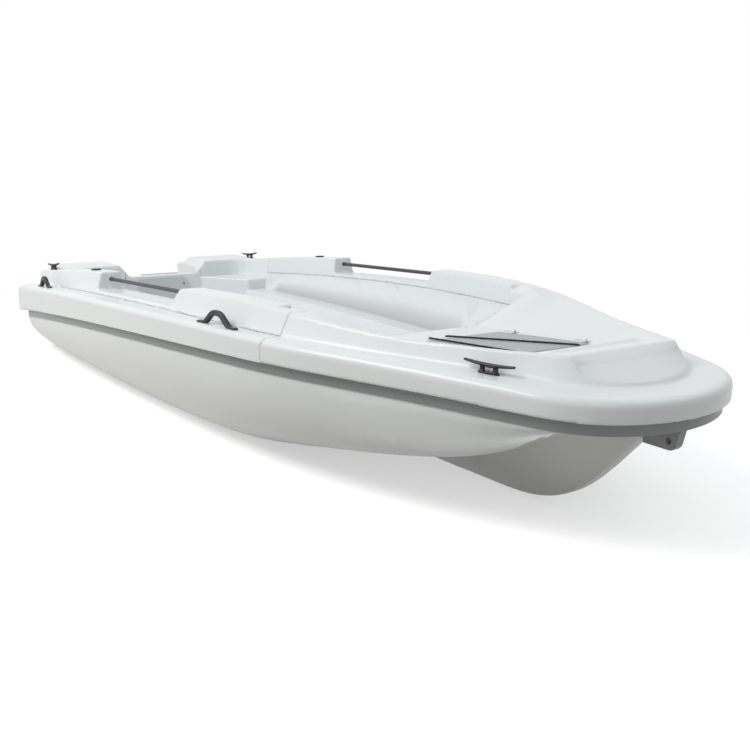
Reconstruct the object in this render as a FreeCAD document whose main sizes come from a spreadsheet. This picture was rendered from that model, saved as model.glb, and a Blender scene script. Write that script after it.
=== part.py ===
import FreeCAD, Part
import math
import os
from FreeCAD import Vector

# Open rowing boat with a tri-hull bottom, moulded in three shells.
# X runs from stern to bow, Y to port, Z up. The boat stands on its keel and its
# two side runners at Z = 0, and the origin is under the middle of its length.

doc = FreeCAD.newDocument("rowing_boat")
sheet = doc.addObject("Spreadsheet::Sheet", "sizes")

# Driving dimensions in millimetres and degrees
SIZES = [
    # Plan of the gunwale skirt, arcs from stern to stem
    ("overall_length", 3830),
    ("skirt_half_beam", 784),
    ("quarter_radius", 10400),
    ("side_radius", 7490),
    ("shoulder_radius", 2090),
    ("bow_corner_radius", 335),
    ("nose_radius", 523),
    ("stern_corner_radius", 45),
    ("shoulder_angle", 7.2),
    ("flank_angle", 19.5),
    ("corner_angle", 66.3),
    # Plan of the coaming and foredeck block that stand on the ledge
    ("block_half_beam", 712),
    ("block_side_radius", 11270),
    ("block_shoulder_radius", 1885),
    ("block_shoulder_angle", 2.5),
    ("block_flank_angle", 24.4),
    ("block_corner_radius", 323),
    ("block_nose_radius", 363),
    ("block_nose_inset", 85),
    ("block_stern_inset", 100),
    ("block_foot_height", 400),
    # Plan of the same block higher up, where its sides have leaned in
    ("rim_half_beam", 647),
    ("rim_side_radius", 9955),
    ("rim_shoulder_radius", 1956),
    ("rim_shoulder_angle", 4.9),
    ("rim_flank_angle", 24.7),
    ("rim_corner_radius", 211),
    ("rim_nose_radius", 314),
    ("rim_nose_inset", 170),
    ("rim_stern_inset", 122),
    ("rim_plan_height", 590),
    # Sheer, the underside of the skirt, and the ledge on top of it
    ("sheer_radius", 20400),
    ("sheer_crown_setback", 750),
    ("sheer_crown_height", 411),
    ("ledge_radius", 23000),
    ("ledge_crown_setback", 1000),
    ("ledge_crown_height", 487),
    ("skirt_edge_round", 26),
    # Coaming top
    ("coaming_crown_height", 568),
    ("cockpit_half_beam", 570),
    # Hull under the skirt
    ("skirt_overhang", 25),
    ("transom_setback", 154),
    ("keel_flat_width", 44),
    ("runner_flat_width", 36),
    ("band_height", 36),
    ("band_thickness", 4),
    # Cockpit
    ("cockpit_aft_station", 406),
    ("cockpit_fore_setback", 1160),
    ("cockpit_corner_radius", 110),
    ("sole_height", 120),
    ("bench_height", 298),
    ("bench_inner_half", 430),
    ("bench_face_slope", 50),
    ("bench_outer_drop", 34),
    ("corner_shelf_height", 352),
    ("corner_shelf_length", 225),
    ("corner_shelf_half_gap", 212),
    ("liner_thickness", 6),
    # Transom and motor cut-out
    ("transom_thickness", 56),
    ("cutout_height", 372),
    ("cutout_bottom_half", 190),
    ("cutout_top_half", 246),
    ("wing_aft_station", 180),
    ("wing_height", 437),
    ("wing_outer_half", 552),
    ("wing_round", 18),
    ("niche_half_width", 215),
    ("niche_floor_height", 235),
    ("pad_width", 300),
    ("pad_height", 170),
    ("pad_thickness", 9),
    ("pad_corner", 45),
    ("pad_top_drop", 8),
    # Foredeck well and hatch
    ("well_aft_height", 462),
    ("well_slope", 4.5),
    ("lid_aft_setback", 965),
    ("lid_length", 430),
    ("lid_width", 345),
    ("lid_thickness", 12),
    ("lid_corner_radius", 28),
    ("lid_clearance", 4),
    ("lid_seat_width", 18),
    ("locker_floor_height", 235),
    ("well_rim_inset", 22),
    ("ridge_setback", 262),
    ("ridge_height", 549),
    ("front_half_width", 250),
    ("front_side_run", 52),
    ("front_lip_height", 18),
    ("front_recess", 5),
    ("front_panel_margin", 28),
    ("hinge_pin_diameter", 5),
    ("hinge_knuckle_diameter", 11),
    ("hinge_length", 48),
    ("hinge_leaf_width", 22),
    ("hinge_leaf_thickness", 2.5),
    ("hinge_clearance", 0.4),
    ("hinge_end_distance", 26),
    ("cord_diameter", 6),
    ("cord_overhang", 28),
    # Handrails in the side notches
    ("notch_aft_station", 1220),
    ("notch_length", 742),
    ("notch_sill_rise", 16),
    ("rail_diameter", 17),
    ("rail_rise", 46),
    ("rail_end_embed", 22),
    ("socket_diameter", 34),
    ("socket_length", 8),
    # Grab handles: an arched bar between two flat feet
    ("handle_span", 240),
    ("handle_rise", 53),
    ("handle_bar_thickness", 20),
    ("handle_width", 22),
    ("handle_arc_radius", 66),
    ("handle_arc_angle", 52),
    ("handle_foot_thickness", 7),
    ("handle_edge_bevel", 5),
    ("handle_inset", 42),
    ("handle_aft_station", 555),
    ("handle_mid_station", 2385),
    # Cleats
    ("cleat_length", 165),
    ("cleat_foot_length", 66),
    ("cleat_height", 34),
    ("cleat_width", 26),
    ("cleat_plate_thickness", 6),
    ("cleat_bar_thickness", 12),
    ("cleat_tip_thickness", 7),
    ("cleat_horn_angle", 6),
    ("cleat_leg_spacing", 44),
    ("cleat_leg_thickness", 13),
    ("bow_cleat_setback", 435),
    ("bow_cleat_inset", 96),
    ("stern_cleat_station", 325),
    ("stern_cleat_inset", 32),
    # Rowlock sockets
    ("rowlock_station", 1015),
    ("rowlock_flange_diameter", 46),
    ("rowlock_flange_thickness", 7),
    ("rowlock_bore", 13),
    ("rowlock_depth", 60),
    # Foot of the stem, where the hull turns up to the band
    ("stem_foot_inset", 132),
    ("stem_foot_height", 286),
    ("stem_top_inset", 62),
    # Towing eye under the stem
    ("eye_thickness", 32),
    ("eye_bore", 16),
    ("eye_bore_inset", 46),
    ("eye_bottom_height", 293),
    ("eye_bore_height", 321),
    # Drain bung low in the inside of the transom
    ("bung_diameter", 34),
    ("bung_length", 12),
    # Margin by which cutting solids run past what they cut
    ("overrun", 400),
]

for row, (alias, value) in enumerate(SIZES, start=1):
    sheet.set("A%d" % row, alias)
    sheet.set("B%d" % row, str(value))
    sheet.setAlias("B%d" % row, alias)
doc.recompute()


def size(alias):
    """Value of one driving dimension."""
    return float(sheet.get(alias))


LENGTH = size("overall_length")
OVERRUN = size("overrun")
STERN_X = -LENGTH / 2


def at_station(station):
    """X of a station, measured forward from the aft end of the skirt."""
    return STERN_X + station


def abaft_bow(setback):
    """X at a distance abaft the fore end of the skirt."""
    return at_station(LENGTH) - setback


# Plan outlines made of arcs that run on from one another

class PlanCurve:
    """Half of a boat's plan: quarter arc, side arc, shoulder arc, straight flank, bow corner
    arc and nose arc, each tangent to the next, symmetric about Y = 0."""

    def __init__(self, half_beam, quarter_r, side_r, shoulder_r, corner_r, nose_r, turn, flank,
                 corner, nose_x):
        self.turn = math.radians(turn)
        self.flank = math.radians(flank)
        self.corner = math.radians(corner)
        self.radii = [quarter_r, side_r, shoulder_r, corner_r, nose_r]
        t, f, c = self.turn, self.flank, self.corner
        arcs_drop = side_r * (1 - math.cos(t)) + shoulder_r * (math.cos(t) - math.cos(f))
        arcs_drop += corner_r * (math.cos(f) - math.cos(c)) + nose_r * math.cos(c)
        straight = (half_beam - arcs_drop) / math.sin(f)
        run = side_r * math.sin(t) + shoulder_r * (math.sin(f) - math.sin(t))
        run += straight * math.cos(f) + corner_r * (math.sin(c) - math.sin(f)) + nose_r * (1 - math.sin(c))
        crown_x = nose_x - run
        quarter = Vector(crown_x, half_beam - quarter_r, 0)
        side = Vector(crown_x, half_beam - side_r, 0)
        shoulder = side + self.normal(t) * (side_r - shoulder_r)
        flank_start = shoulder + self.normal(f) * shoulder_r
        flank_end = flank_start + Vector(math.cos(f), -math.sin(f), 0) * straight
        bow_corner = flank_end - self.normal(f) * corner_r
        nose = bow_corner + self.normal(c) * (corner_r - nose_r)
        self.centres = [quarter, side, shoulder, bow_corner, nose]

    def normal(self, heading):
        """Outward unit normal where the side has turned in by an angle."""
        return Vector(math.sin(heading), math.cos(heading), 0)

    def half_breadth(self, x, inset=0):
        """Half-breadth at x of the curve moved inboard by inset."""
        quarter, side, shoulder, bow_corner, nose = self.centres
        quarter_r, side_r, shoulder_r, corner_r, nose_r = [r - inset for r in self.radii]
        if x <= quarter.x:
            return quarter.y + math.sqrt(quarter_r ** 2 - (x - quarter.x) ** 2)
        if x <= side.x + side_r * math.sin(self.turn):
            return side.y + math.sqrt(side_r ** 2 - (x - side.x) ** 2)
        if x <= shoulder.x + shoulder_r * math.sin(self.flank):
            return shoulder.y + math.sqrt(shoulder_r ** 2 - (x - shoulder.x) ** 2)
        if x <= bow_corner.x + corner_r * math.sin(self.flank):
            start = shoulder + self.normal(self.flank) * shoulder_r
            return start.y - (x - start.x) * math.tan(self.flank)
        if x <= bow_corner.x + corner_r * math.sin(self.corner):
            return bow_corner.y + math.sqrt(corner_r ** 2 - (x - bow_corner.x) ** 2)
        return math.sqrt(max(nose_r ** 2 - (x - nose.x) ** 2, 0))

    def slope_angle(self, x):
        """Heading of the side at x in degrees, positive where it turns in."""
        step = LENGTH / 1000
        fall = self.half_breadth(x - step) - self.half_breadth(x + step)
        return math.degrees(math.atan2(fall, 2 * step))

    def wire(self, inset, aft_x, aft_radius, z):
        """Closed outline at height z, with its stern square at aft_x and rounded corners."""
        quarter, side, shoulder, bow_corner, nose = self.centres
        quarter_r, side_r, shoulder_r, corner_r, nose_r = [r - inset for r in self.radii]
        stern = Vector(aft_x + aft_radius, 0, 0)
        reach = quarter_r - aft_radius
        stern.y = quarter.y + math.sqrt(reach ** 2 - (stern.x - quarter.x) ** 2)
        turned = math.atan2(stern.y - quarter.y, stern.x - quarter.x)
        right = math.pi / 2
        arcs = [
            (stern, aft_radius, math.pi, turned),
            (quarter, quarter_r, turned, right),
            (side, side_r, right, right - self.turn),
            (shoulder, shoulder_r, right - self.turn, right - self.flank),
            (bow_corner, corner_r, right - self.flank, right - self.corner),
            (nose, nose_r, right - self.corner, 0),
        ]
        port = []
        for centre, radius, start, end in arcs:
            points = [centre + Vector(math.cos(a), math.sin(a), 0) * radius
                      for a in (start, (start + end) / 2, end)]
            port.append(points)
        edges = []
        last = Vector(aft_x, 0, 0)
        for points in port:
            if last.distanceToPoint(points[0]) > Part.Precision.confusion():
                edges.append(Part.LineSegment(last, points[0]).toShape())
            edges.append(Part.Arc(*points).toShape())
            last = points[2]
        wire = Part.Wire(edges)
        other = wire.mirror(Vector(0, 0, 0), Vector(0, 1, 0))
        both = Part.Wire(Part.__sortEdges__(wire.Edges + other.Edges))
        both.translate(Vector(0, 0, z))
        return both


def prism(wire, bottom, top):
    """Upright solid on a flat closed wire, from one height to another."""
    base = wire.copy()
    base.translate(Vector(0, 0, bottom - wire.BoundBox.ZMin))
    return Part.Face(base).extrude(Vector(0, 0, top - bottom))


class Crown:
    """Long arc in the side view, highest at x."""

    def __init__(self, radius, x, height):
        self.radius = radius
        self.x = x
        self.height = height

    def z(self, x):
        return self.height - self.radius + math.sqrt(self.radius ** 2 - (x - self.x) ** 2)

    def edge(self, start, end):
        middle = (start + end) / 2
        points = [Vector(x, 0, self.z(x)) for x in (start, middle, end)]
        return Part.Arc(*points).toShape()


def side_profile_solid(top_edges, bottom):
    """Solid across the whole beam under a line of edges drawn in the side view."""
    start = top_edges[0].Vertexes[0].Point
    end = top_edges[-1].Vertexes[-1].Point
    low_start = Vector(start.x, 0, bottom)
    low_end = Vector(end.x, 0, bottom)
    ring = top_edges + [Part.LineSegment(end, low_end).toShape(),
                        Part.LineSegment(low_end, low_start).toShape(),
                        Part.LineSegment(low_start, start).toShape()]
    face = Part.Face(Part.Wire(ring))
    face.translate(Vector(0, -LENGTH / 2, 0))
    return face.extrude(Vector(0, LENGTH, 0))


def through_points(points):
    """Smooth curve through points."""
    curve = Part.BSplineCurve()
    curve.interpolate(points)
    return curve.toShape()


def straight(a, b):
    return Part.LineSegment(a, b).toShape()


def mirrored(shape):
    """The same shape on the other side of the boat."""
    return shape.mirror(Vector(0, 0, 0), Vector(0, 1, 0))


skirt_plan = PlanCurve(size("skirt_half_beam"), size("quarter_radius"), size("side_radius"),
                       size("shoulder_radius"), size("bow_corner_radius"), size("nose_radius"),
                       size("shoulder_angle"), size("flank_angle"), size("corner_angle"),
                       at_station(LENGTH))
block_plan = PlanCurve(size("block_half_beam"), size("block_side_radius"),
                       size("block_side_radius"), size("block_shoulder_radius"),
                       size("block_corner_radius"), size("block_nose_radius"),
                       size("block_shoulder_angle"), size("block_flank_angle"),
                       size("corner_angle"), at_station(LENGTH) - size("block_nose_inset"))
rim_plan = PlanCurve(size("rim_half_beam"), size("rim_side_radius"), size("rim_side_radius"),
                     size("rim_shoulder_radius"), size("rim_corner_radius"),
                     size("rim_nose_radius"), size("rim_shoulder_angle"),
                     size("rim_flank_angle"), size("corner_angle"),
                     at_station(LENGTH) - size("rim_nose_inset"))
sheer_x = abaft_bow(size("sheer_crown_setback"))
ledge_x = abaft_bow(size("ledge_crown_setback"))
sheer = Crown(size("sheer_radius"), sheer_x, size("sheer_crown_height"))
ledge = Crown(size("ledge_radius"), ledge_x, size("ledge_crown_height"))

pieces = []


def keep(name, shape):
    """Put a finished moulding into the document as a piece of its own."""
    piece = doc.addObject("Part::Feature", name)
    piece.Label = name
    if shape.ShapeType != "Solid" and len(shape.Solids) == 1:
        shape = shape.Solids[0]
    piece.Shape = shape
    pieces.append(piece)
    return piece


def bound(kind, name, place=None, **expressions):
    """Primitive or feature whose named properties follow cells of the sheet."""
    thing = doc.addObject(kind, name)
    for prop, expression in expressions.items():
        thing.setExpression(prop, expression)
    if place is not None:
        thing.Placement = place
    return thing


def joined(name, things):
    """Union of several document objects."""
    union = doc.addObject("Part::MultiFuse", name)
    union.Shapes = things
    union.Refine = True
    return union


def less(name, base, tool):
    """One document object cut by another."""
    cut = doc.addObject("Part::Cut", name)
    cut.Base = base
    cut.Tool = tool
    cut.Refine = True
    return cut


def finished(name, thing, placement):
    """Count a document object as a piece, under its own label and at its own place."""
    thing.Label = name
    thing.Placement = placement
    pieces.append(thing)
    return thing


def across(placement):
    """The mirror image of a placement on the other side of the boat."""
    base = placement.Base
    x, y, z, w = placement.Rotation.Q
    return FreeCAD.Placement(Vector(base.x, -base.y, base.z), FreeCAD.Rotation(-x, y, -z, w))


def pair(name, make, placement):
    """The same piece on the port side and, mirrored, on the starboard side."""
    finished(name + "_port", make(name + "_port"), placement)
    finished(name + "_starboard", make(name + "_starboard"), across(placement))


# Coaming top in the side view: rises from the stern, swells forward of the notch,
# falls to the foredeck ridge. Shares of the length and of the crown height.
coaming_shares = [
    (0.000, 0.680), (0.085, 0.748), (0.307, 0.915), (0.530, 0.979), (0.609, 1.000),
    (0.688, 0.993), (0.739, 0.977), (0.805, 0.950), (0.873, 0.955),
]
crown = size("coaming_crown_height")
coaming_points = [Vector(at_station(s * LENGTH), 0, z * crown) for s, z in coaming_shares]
ridge = Vector(abaft_bow(size("ridge_setback")), 0, size("ridge_height"))
coaming_points.append(ridge)
coaming_curve = Part.BSplineCurve()
coaming_curve.interpolate(coaming_points)


def coaming_z(x):
    """Height of the coaming top at x."""
    plane = Part.Plane(Vector(x, 0, 0), Vector(1, 0, 0))
    hit = coaming_curve.intersect(plane)[0]
    return hit[0].Z


# Cockpit void: a footwell between side benches and the wider space over them
bench_z = size("bench_height")
sole_z = size("sole_height")
open_top = crown + OVERRUN


def cockpit_wire(half, aft_x, fore_x, radius, z):
    """Rounded outline that follows the side of the boat at a given half-breadth amidships."""
    inset = size("skirt_half_beam") - half
    box = Part.Face(skirt_plan.wire(inset, aft_x, radius, z))
    keep_aft = Part.makeBox(fore_x - aft_x + OVERRUN, 2 * LENGTH, OVERRUN,
                            Vector(aft_x - OVERRUN, -LENGTH, z - OVERRUN / 2))
    face = box.common(keep_aft).Faces[0]
    edges = Part.__sortEdges__(face.OuterWire.Edges)
    return Part.Wire(edges)


def cockpit_void(grow):
    """Space inside the cockpit, larger all round by the liner's wall."""
    aft = at_station(size("cockpit_aft_station")) - grow
    fore = abaft_bow(size("cockpit_fore_setback")) + grow
    radius = size("cockpit_corner_radius") + grow
    half = size("bench_inner_half") + grow
    slope = size("bench_face_slope")
    low = cockpit_wire(half - slope, aft, fore - slope, radius, sole_z - grow)
    high = cockpit_wire(half, aft, fore, radius, bench_z - grow)
    footwell = Part.makeLoft([low, high], True, True)
    outer = size("cockpit_half_beam") + grow
    drop = size("bench_outer_drop")
    wall_low = cockpit_wire(outer - drop, aft, fore, radius, bench_z - grow)
    wall_high = cockpit_wire(outer, aft, fore, radius, crown)
    upper = Part.makeLoft([wall_low, wall_high], True, True)
    lid = prism(wall_high, crown, open_top)
    return footwell.fuse(upper).fuse(lid).removeSplitter()


# Foredeck well that holds the hatch, open aft to the cockpit
well_rise = math.tan(math.radians(size("well_slope")))
lid_aft_x = abaft_bow(size("lid_aft_setback"))
lid_fore_x = lid_aft_x + size("lid_length")


def well_z(x):
    """Height of the well floor at x."""
    return size("well_aft_height") + (x - lid_aft_x) * well_rise


def ring_of(points):
    edges = [straight(points[i - 1], points[i]) for i in range(len(points))]
    return Part.Wire(edges)


well_aft_x = abaft_bow(size("cockpit_fore_setback")) - size("cockpit_corner_radius")
floor_margin = size("lid_corner_radius")
floor_fore = lid_fore_x + floor_margin
floor_half_aft = size("lid_width") / 2 + 2 * floor_margin
floor_half_fore = size("lid_width") / 2 + floor_margin
rim_inset = size("well_rim_inset")
rim_fore = ridge.x - rim_inset
rim_half_aft = rim_plan.half_breadth(well_aft_x) - rim_inset
rim_half_fore = rim_plan.half_breadth(rim_fore) - rim_inset
floor_ring = ring_of([
    Vector(well_aft_x, floor_half_aft, well_z(well_aft_x)),
    Vector(floor_fore, floor_half_fore, well_z(floor_fore)),
    Vector(floor_fore, -floor_half_fore, well_z(floor_fore)),
    Vector(well_aft_x, -floor_half_aft, well_z(well_aft_x)),
])
rim_ring = ring_of([
    Vector(well_aft_x, rim_half_aft, crown),
    Vector(rim_fore, rim_half_fore, crown),
    Vector(rim_fore, -rim_half_fore, crown),
    Vector(well_aft_x, -rim_half_aft, crown),
])
foredeck_well = Part.makeLoft([floor_ring, rim_ring], True, True)

# Corner shelves beside the transom, with a diagonal fore edge
cockpit_aft_x = at_station(size("cockpit_aft_station"))
shelf_fore_x = cockpit_aft_x + size("corner_shelf_length")
shelf_turn_half = (size("corner_shelf_half_gap") + size("cockpit_half_beam")) / 2
shelf_ring = ring_of([
    Vector(cockpit_aft_x - OVERRUN, size("corner_shelf_half_gap"), 0),
    Vector(cockpit_aft_x, size("corner_shelf_half_gap"), 0),
    Vector(shelf_fore_x, shelf_turn_half, 0),
    Vector(shelf_fore_x, size("skirt_half_beam"), 0),
    Vector(cockpit_aft_x - OVERRUN, size("skirt_half_beam"), 0),
])
shelf = prism(shelf_ring, 0, size("corner_shelf_height"))
shelves = shelf.fuse(mirrored(shelf))

# Hull: sections from transom to stem, in shares of the skirt's half-beam and crown height
half_beam = size("skirt_half_beam")
depth = size("sheer_crown_height")
section_shares = [
    # station, keel z, tunnel y, tunnel z, runner y, runner z, bilge y, bilge z
    (0.0000, 0.000, 0.320, 0.150, 0.638, 0.000, 0.735, 0.095),
    (0.2090, 0.000, 0.320, 0.185, 0.638, 0.000, 0.785, 0.120),
    (0.3650, 0.000, 0.320, 0.220, 0.638, 0.000, 0.800, 0.145),
    (0.5020, 0.000, 0.320, 0.260, 0.638, 0.025, 0.800, 0.185),
    (0.6090, 0.000, 0.320, 0.310, 0.638, 0.100, 0.788, 0.250),
    (0.6980, 0.000, 0.310, 0.395, 0.632, 0.245, 0.750, 0.370),
    (0.7910, 0.000, 0.290, 0.525, 0.595, 0.400, 0.665, 0.505),
    (0.8300, 0.005, 0.280, 0.595, 0.550, 0.460, 0.612, 0.570),
    (0.8630, 0.058, 0.265, 0.655, 0.505, 0.535, 0.562, 0.640),
    (0.8940, 0.215, 0.245, 0.715, 0.465, 0.640, 0.508, 0.725),
    (0.9240, 0.410, 0.220, 0.780, 0.436, 0.745, 0.465, 0.800),
    (0.9550, 0.630, 0.195, 0.860, 0.415, 0.865, 0.430, 0.905),
    (1.0100, 0.950, 0.150, 1.060, 0.400, 1.080, 0.420, 1.110),
]
section_count = 13
arch_chords = 6
bilge_chords = 5
handle_chords = 6
shoulder_rise_share = 0.35
side_turn_share = 0.35
arch_half_share = 0.50
arch_lift_share = 0.52
hull_inset = size("skirt_overhang")
top_z = size("ledge_crown_height") + OVERRUN


def eased(values, stations, station):
    """Value at a station on a curve through the table that never overshoots it."""
    slopes = []
    gaps = [b - a for a, b in zip(stations, stations[1:])]
    rises = [(b - a) / gap for a, b, gap in zip(values, values[1:], gaps)]
    for left, right, gap_left, gap_right in zip(rises, rises[1:], gaps, gaps[1:]):
        if left * right <= 0:
            slopes.append(0)
        else:
            weight = 2 * gap_right + gap_left
            other = gap_right + 2 * gap_left
            slopes.append((weight + other) / (weight / left + other / right))
    slopes = [rises[0]] + slopes + [rises[-1]]
    index = sum(1 for s in stations[1:-1] if s <= station)
    gap = gaps[index]
    part = (station - stations[index]) / gap
    start, end = values[index], values[index + 1]
    near = (1 + 2 * part) * (1 - part) ** 2 * start + part ** 2 * (3 - 2 * part) * end
    turn = part * (1 - part) ** 2 * slopes[index] - part ** 2 * (1 - part) * slopes[index + 1]
    return near + gap * turn


def chords(curve, count):
    """A curve as a chain of short straight edges."""
    points = curve.toShape().discretize(Number=count + 1)
    return [straight(a, b) for a, b in zip(points, points[1:])]


def hull_section(station):
    """Closed transverse section: keel flat, tunnel arch, runner flat and round bilge."""
    columns = list(zip(*section_shares))
    keel, tunnel_y, tunnel_z, runner_y_share, runner_z, bilge_y, bilge_z = [
        eased(column, columns[0], station) for column in columns[1:]]
    x = at_station(station * LENGTH)
    keel_half = size("keel_flat_width") / 2
    flat_half = size("runner_flat_width") / 2
    keel_z = keel * depth
    runner = Vector(x, runner_y_share * half_beam, runner_z * depth)
    apex = Vector(x, tunnel_y * half_beam, tunnel_z * depth)
    start = Vector(x, keel_half, keel_z)
    inner = Vector(x, runner.y - flat_half, runner.z)
    outer = Vector(x, runner.y + flat_half, runner.z)
    arch = Part.BSplineCurve()
    arch.interpolate([start,
                      Vector(x, start.y + (apex.y - start.y) * arch_half_share,
                             keel_z + (apex.z - keel_z) * arch_lift_share),
                      apex, inner])
    bilge = Vector(x, bilge_y * half_beam, bilge_z * depth)
    last_x = at_station(section_shares[-2][0] * LENGTH)
    side_y = skirt_plan.half_breadth(min(x, last_x), hull_inset) + size("band_thickness") / 2
    side = Vector(x, side_y, max(sheer.z(x) - size("band_height"), bilge.z + keel_half))
    top = Vector(x, side_y, top_z)
    lean = side_turn_share * math.atan2(side.y - bilge.y, side.z - bilge.z)
    round_bilge = Part.BSplineCurve()
    round_bilge.interpolate(Points=[outer, bilge, side],
                            InitialTangent=Vector(0, 1, shoulder_rise_share),
                            FinalTangent=Vector(0, math.sin(lean), math.cos(lean)))
    half = chords(arch, arch_chords) + [straight(inner, outer)]
    half += chords(round_bilge, bilge_chords) + [straight(side, top)]
    port = Part.Wire(half)
    star = mirrored(port)
    closing = [straight(start, Vector(x, -keel_half, keel_z)),
               straight(top, Vector(x, -side_y, top_z))]
    return Part.Wire(Part.__sortEdges__(port.Edges + star.Edges + closing))


first, last = section_shares[0][0], section_shares[-1][0]
stations = [first + (last - first) * i / (section_count - 1) for i in range(section_count)]
hull_form = Part.makeLoft([hull_section(s) for s in stations], True, False, False, 3)
hull_aft_x = at_station(size("transom_setback"))
hull_prism = prism(skirt_plan.wire(hull_inset, hull_aft_x, size("stern_corner_radius") / 2, 0),
                   -OVERRUN, top_z)
under_sheer = side_profile_solid([sheer.edge(STERN_X - OVERRUN, -STERN_X + OVERRUN)], -OVERRUN)
stem_foot_x = at_station(LENGTH) - size("stem_foot_inset")
stem_top_x = at_station(LENGTH) - size("stem_top_inset")
stem_cut = Part.Face(ring_of([
    Vector(stem_foot_x, -LENGTH / 2, 0),
    Vector(stem_foot_x, -LENGTH / 2, size("stem_foot_height")),
    Vector(stem_top_x, -LENGTH / 2, size("sheer_crown_height") - size("band_height")),
    Vector(LENGTH, -LENGTH / 2, size("sheer_crown_height") - size("band_height")),
    Vector(LENGTH, -LENGTH / 2, 0),
])).extrude(Vector(0, LENGTH, 0))
hull = hull_form.common(hull_prism).common(under_sheer).cut(stem_cut)

# Skirt: overhanging rim of the deck moulding between sheer and ledge. Its upper edge is
# rounded with three flats, each turned a quarter of a right angle from the last.
under_ledge = side_profile_solid([ledge.edge(STERN_X - OVERRUN, -STERN_X + OVERRUN)], -OVERRUN)
skirt_wire = skirt_plan.wire(0, STERN_X, size("stern_corner_radius"), 0)
skirt = prism(skirt_wire, 0, top_z).common(under_ledge).cut(under_sheer)
edge_round = size("skirt_edge_round")
flat_turn = math.pi / 8
wide_bevel = edge_round * (1 - math.tan(flat_turn))
fine_bevel = edge_round * (math.tan(flat_turn) - math.tan(flat_turn / 2))


def edges_near_ledge(shape, below, shortest):
    """Edges of the skirt that run along it within a distance under the ledge."""
    found = []
    for edge in shape.Edges:
        middle = edge.valueAt((edge.FirstParameter + edge.LastParameter) / 2)
        if edge.Length > shortest and middle.z > ledge.z(middle.x) - below:
            found.append(edge)
    return found


skirt = skirt.makeChamfer(wide_bevel, edges_near_ledge(skirt, size("liner_thickness"), 0))
skirt = skirt.makeChamfer(fine_bevel, edges_near_ledge(skirt, edge_round, edge_round * math.sqrt(2)))

# Coaming, stern quarters and foredeck block, with drafted sides
toe_x = at_station(LENGTH) - size("block_nose_inset")
block_top = side_profile_solid([coaming_curve.toShape(),
                                straight(ridge, Vector(toe_x + OVERRUN, 0, ridge.z))],
                               sheer.z(STERN_X))
block_low = block_plan.wire(0, at_station(size("block_stern_inset")),
                            size("stern_corner_radius"), size("block_foot_height"))
block_high = rim_plan.wire(0, at_station(size("rim_stern_inset")),
                           size("stern_corner_radius"), size("rim_plan_height"))
block = Part.makeLoft([block_low, block_high], True, True)
block_foot = prism(block_low, 0, size("block_foot_height"))

# Front of the foredeck block: a breakwater that runs from a straight ridge to a curved
# toe, with a lip along the ridge and a shallow panel under it
front_half = size("front_half_width")
front_z = ledge.z(toe_x)


def ahead_of_front(setback, half):
    """Space ahead of the breakwater, moved aft by a setback and bounded at the sides."""
    wires = []
    for z, side_run, middle_run in [(front_z, size("front_side_run"), toe_x - ridge.x),
                                    (ridge.z, 0, 0)]:
        side_x = ridge.x + side_run - setback
        middle = Vector(ridge.x + middle_run - setback, 0, z)
        port = Vector(side_x, front_half, z)
        starboard = Vector(side_x, -front_half, z)
        if middle_run:
            front_edge = Part.Arc(port, middle, starboard).toShape()
        else:
            front_edge = straight(port, starboard)
        fore_x = at_station(LENGTH)
        wires.append(Part.Wire([front_edge,
                                straight(starboard, Vector(fore_x, -front_half, z)),
                                straight(Vector(fore_x, -front_half, z), Vector(fore_x, front_half, z)),
                                straight(Vector(fore_x, front_half, z), port)]))
    space = Part.makeLoft(wires, True, True)
    bounds = Part.makeBox(LENGTH, 2 * half, top_z, Vector(0, -half, 0))
    return space.common(bounds)


panel_top = ridge.z - size("front_lip_height")
panel = ahead_of_front(size("front_recess"), front_half - size("front_panel_margin"))
panel = panel.common(Part.makeBox(LENGTH, LENGTH, panel_top, Vector(0, -LENGTH / 2, 0)))
block = block.fuse(block_foot).common(block_top)
block = block.cut(ahead_of_front(0, front_half)).cut(panel).cut(under_sheer)
wing_aft_x = at_station(size("wing_aft_station"))
wing_low = size("niche_floor_height")
wing = Part.makeBox(cockpit_aft_x - wing_aft_x, size("wing_outer_half"),
                    size("wing_height") - wing_low, Vector(wing_aft_x, 0, wing_low))
wing_edges = [e for e in wing.Edges
              if e.CenterOfMass.z > size("cutout_height")
              and e.CenterOfMass.y > 0 and abs(e.tangentAt(e.FirstParameter).z) < 1 / 2]
wing = wing.makeChamfer(size("wing_round") / 2, wing_edges)
deck = skirt.fuse(block).fuse(wing).fuse(mirrored(wing))

# Motor cut-out between the stern wings and the niche aft of the transom
cut_low = size("cutout_height")
cut_points = [
    Vector(0, size("cutout_bottom_half"), cut_low),
    Vector(0, size("cutout_top_half"), size("wing_height")),
    Vector(0, size("cutout_top_half"), top_z),
    Vector(0, -size("cutout_top_half"), top_z),
    Vector(0, -size("cutout_top_half"), size("wing_height")),
    Vector(0, -size("cutout_bottom_half"), cut_low),
]
motor_cut = Part.Face(ring_of(cut_points)).extrude(Vector(size("cockpit_aft_station") + OVERRUN, 0, 0))
motor_cut.translate(Vector(STERN_X - OVERRUN / 2, 0, 0))
niche_half = size("niche_half_width")
niche_fore_x = cockpit_aft_x - size("transom_thickness")
niche = Part.makeBox(OVERRUN, 2 * niche_half, top_z,
                     Vector(niche_fore_x - OVERRUN, -niche_half, size("niche_floor_height")))

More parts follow.
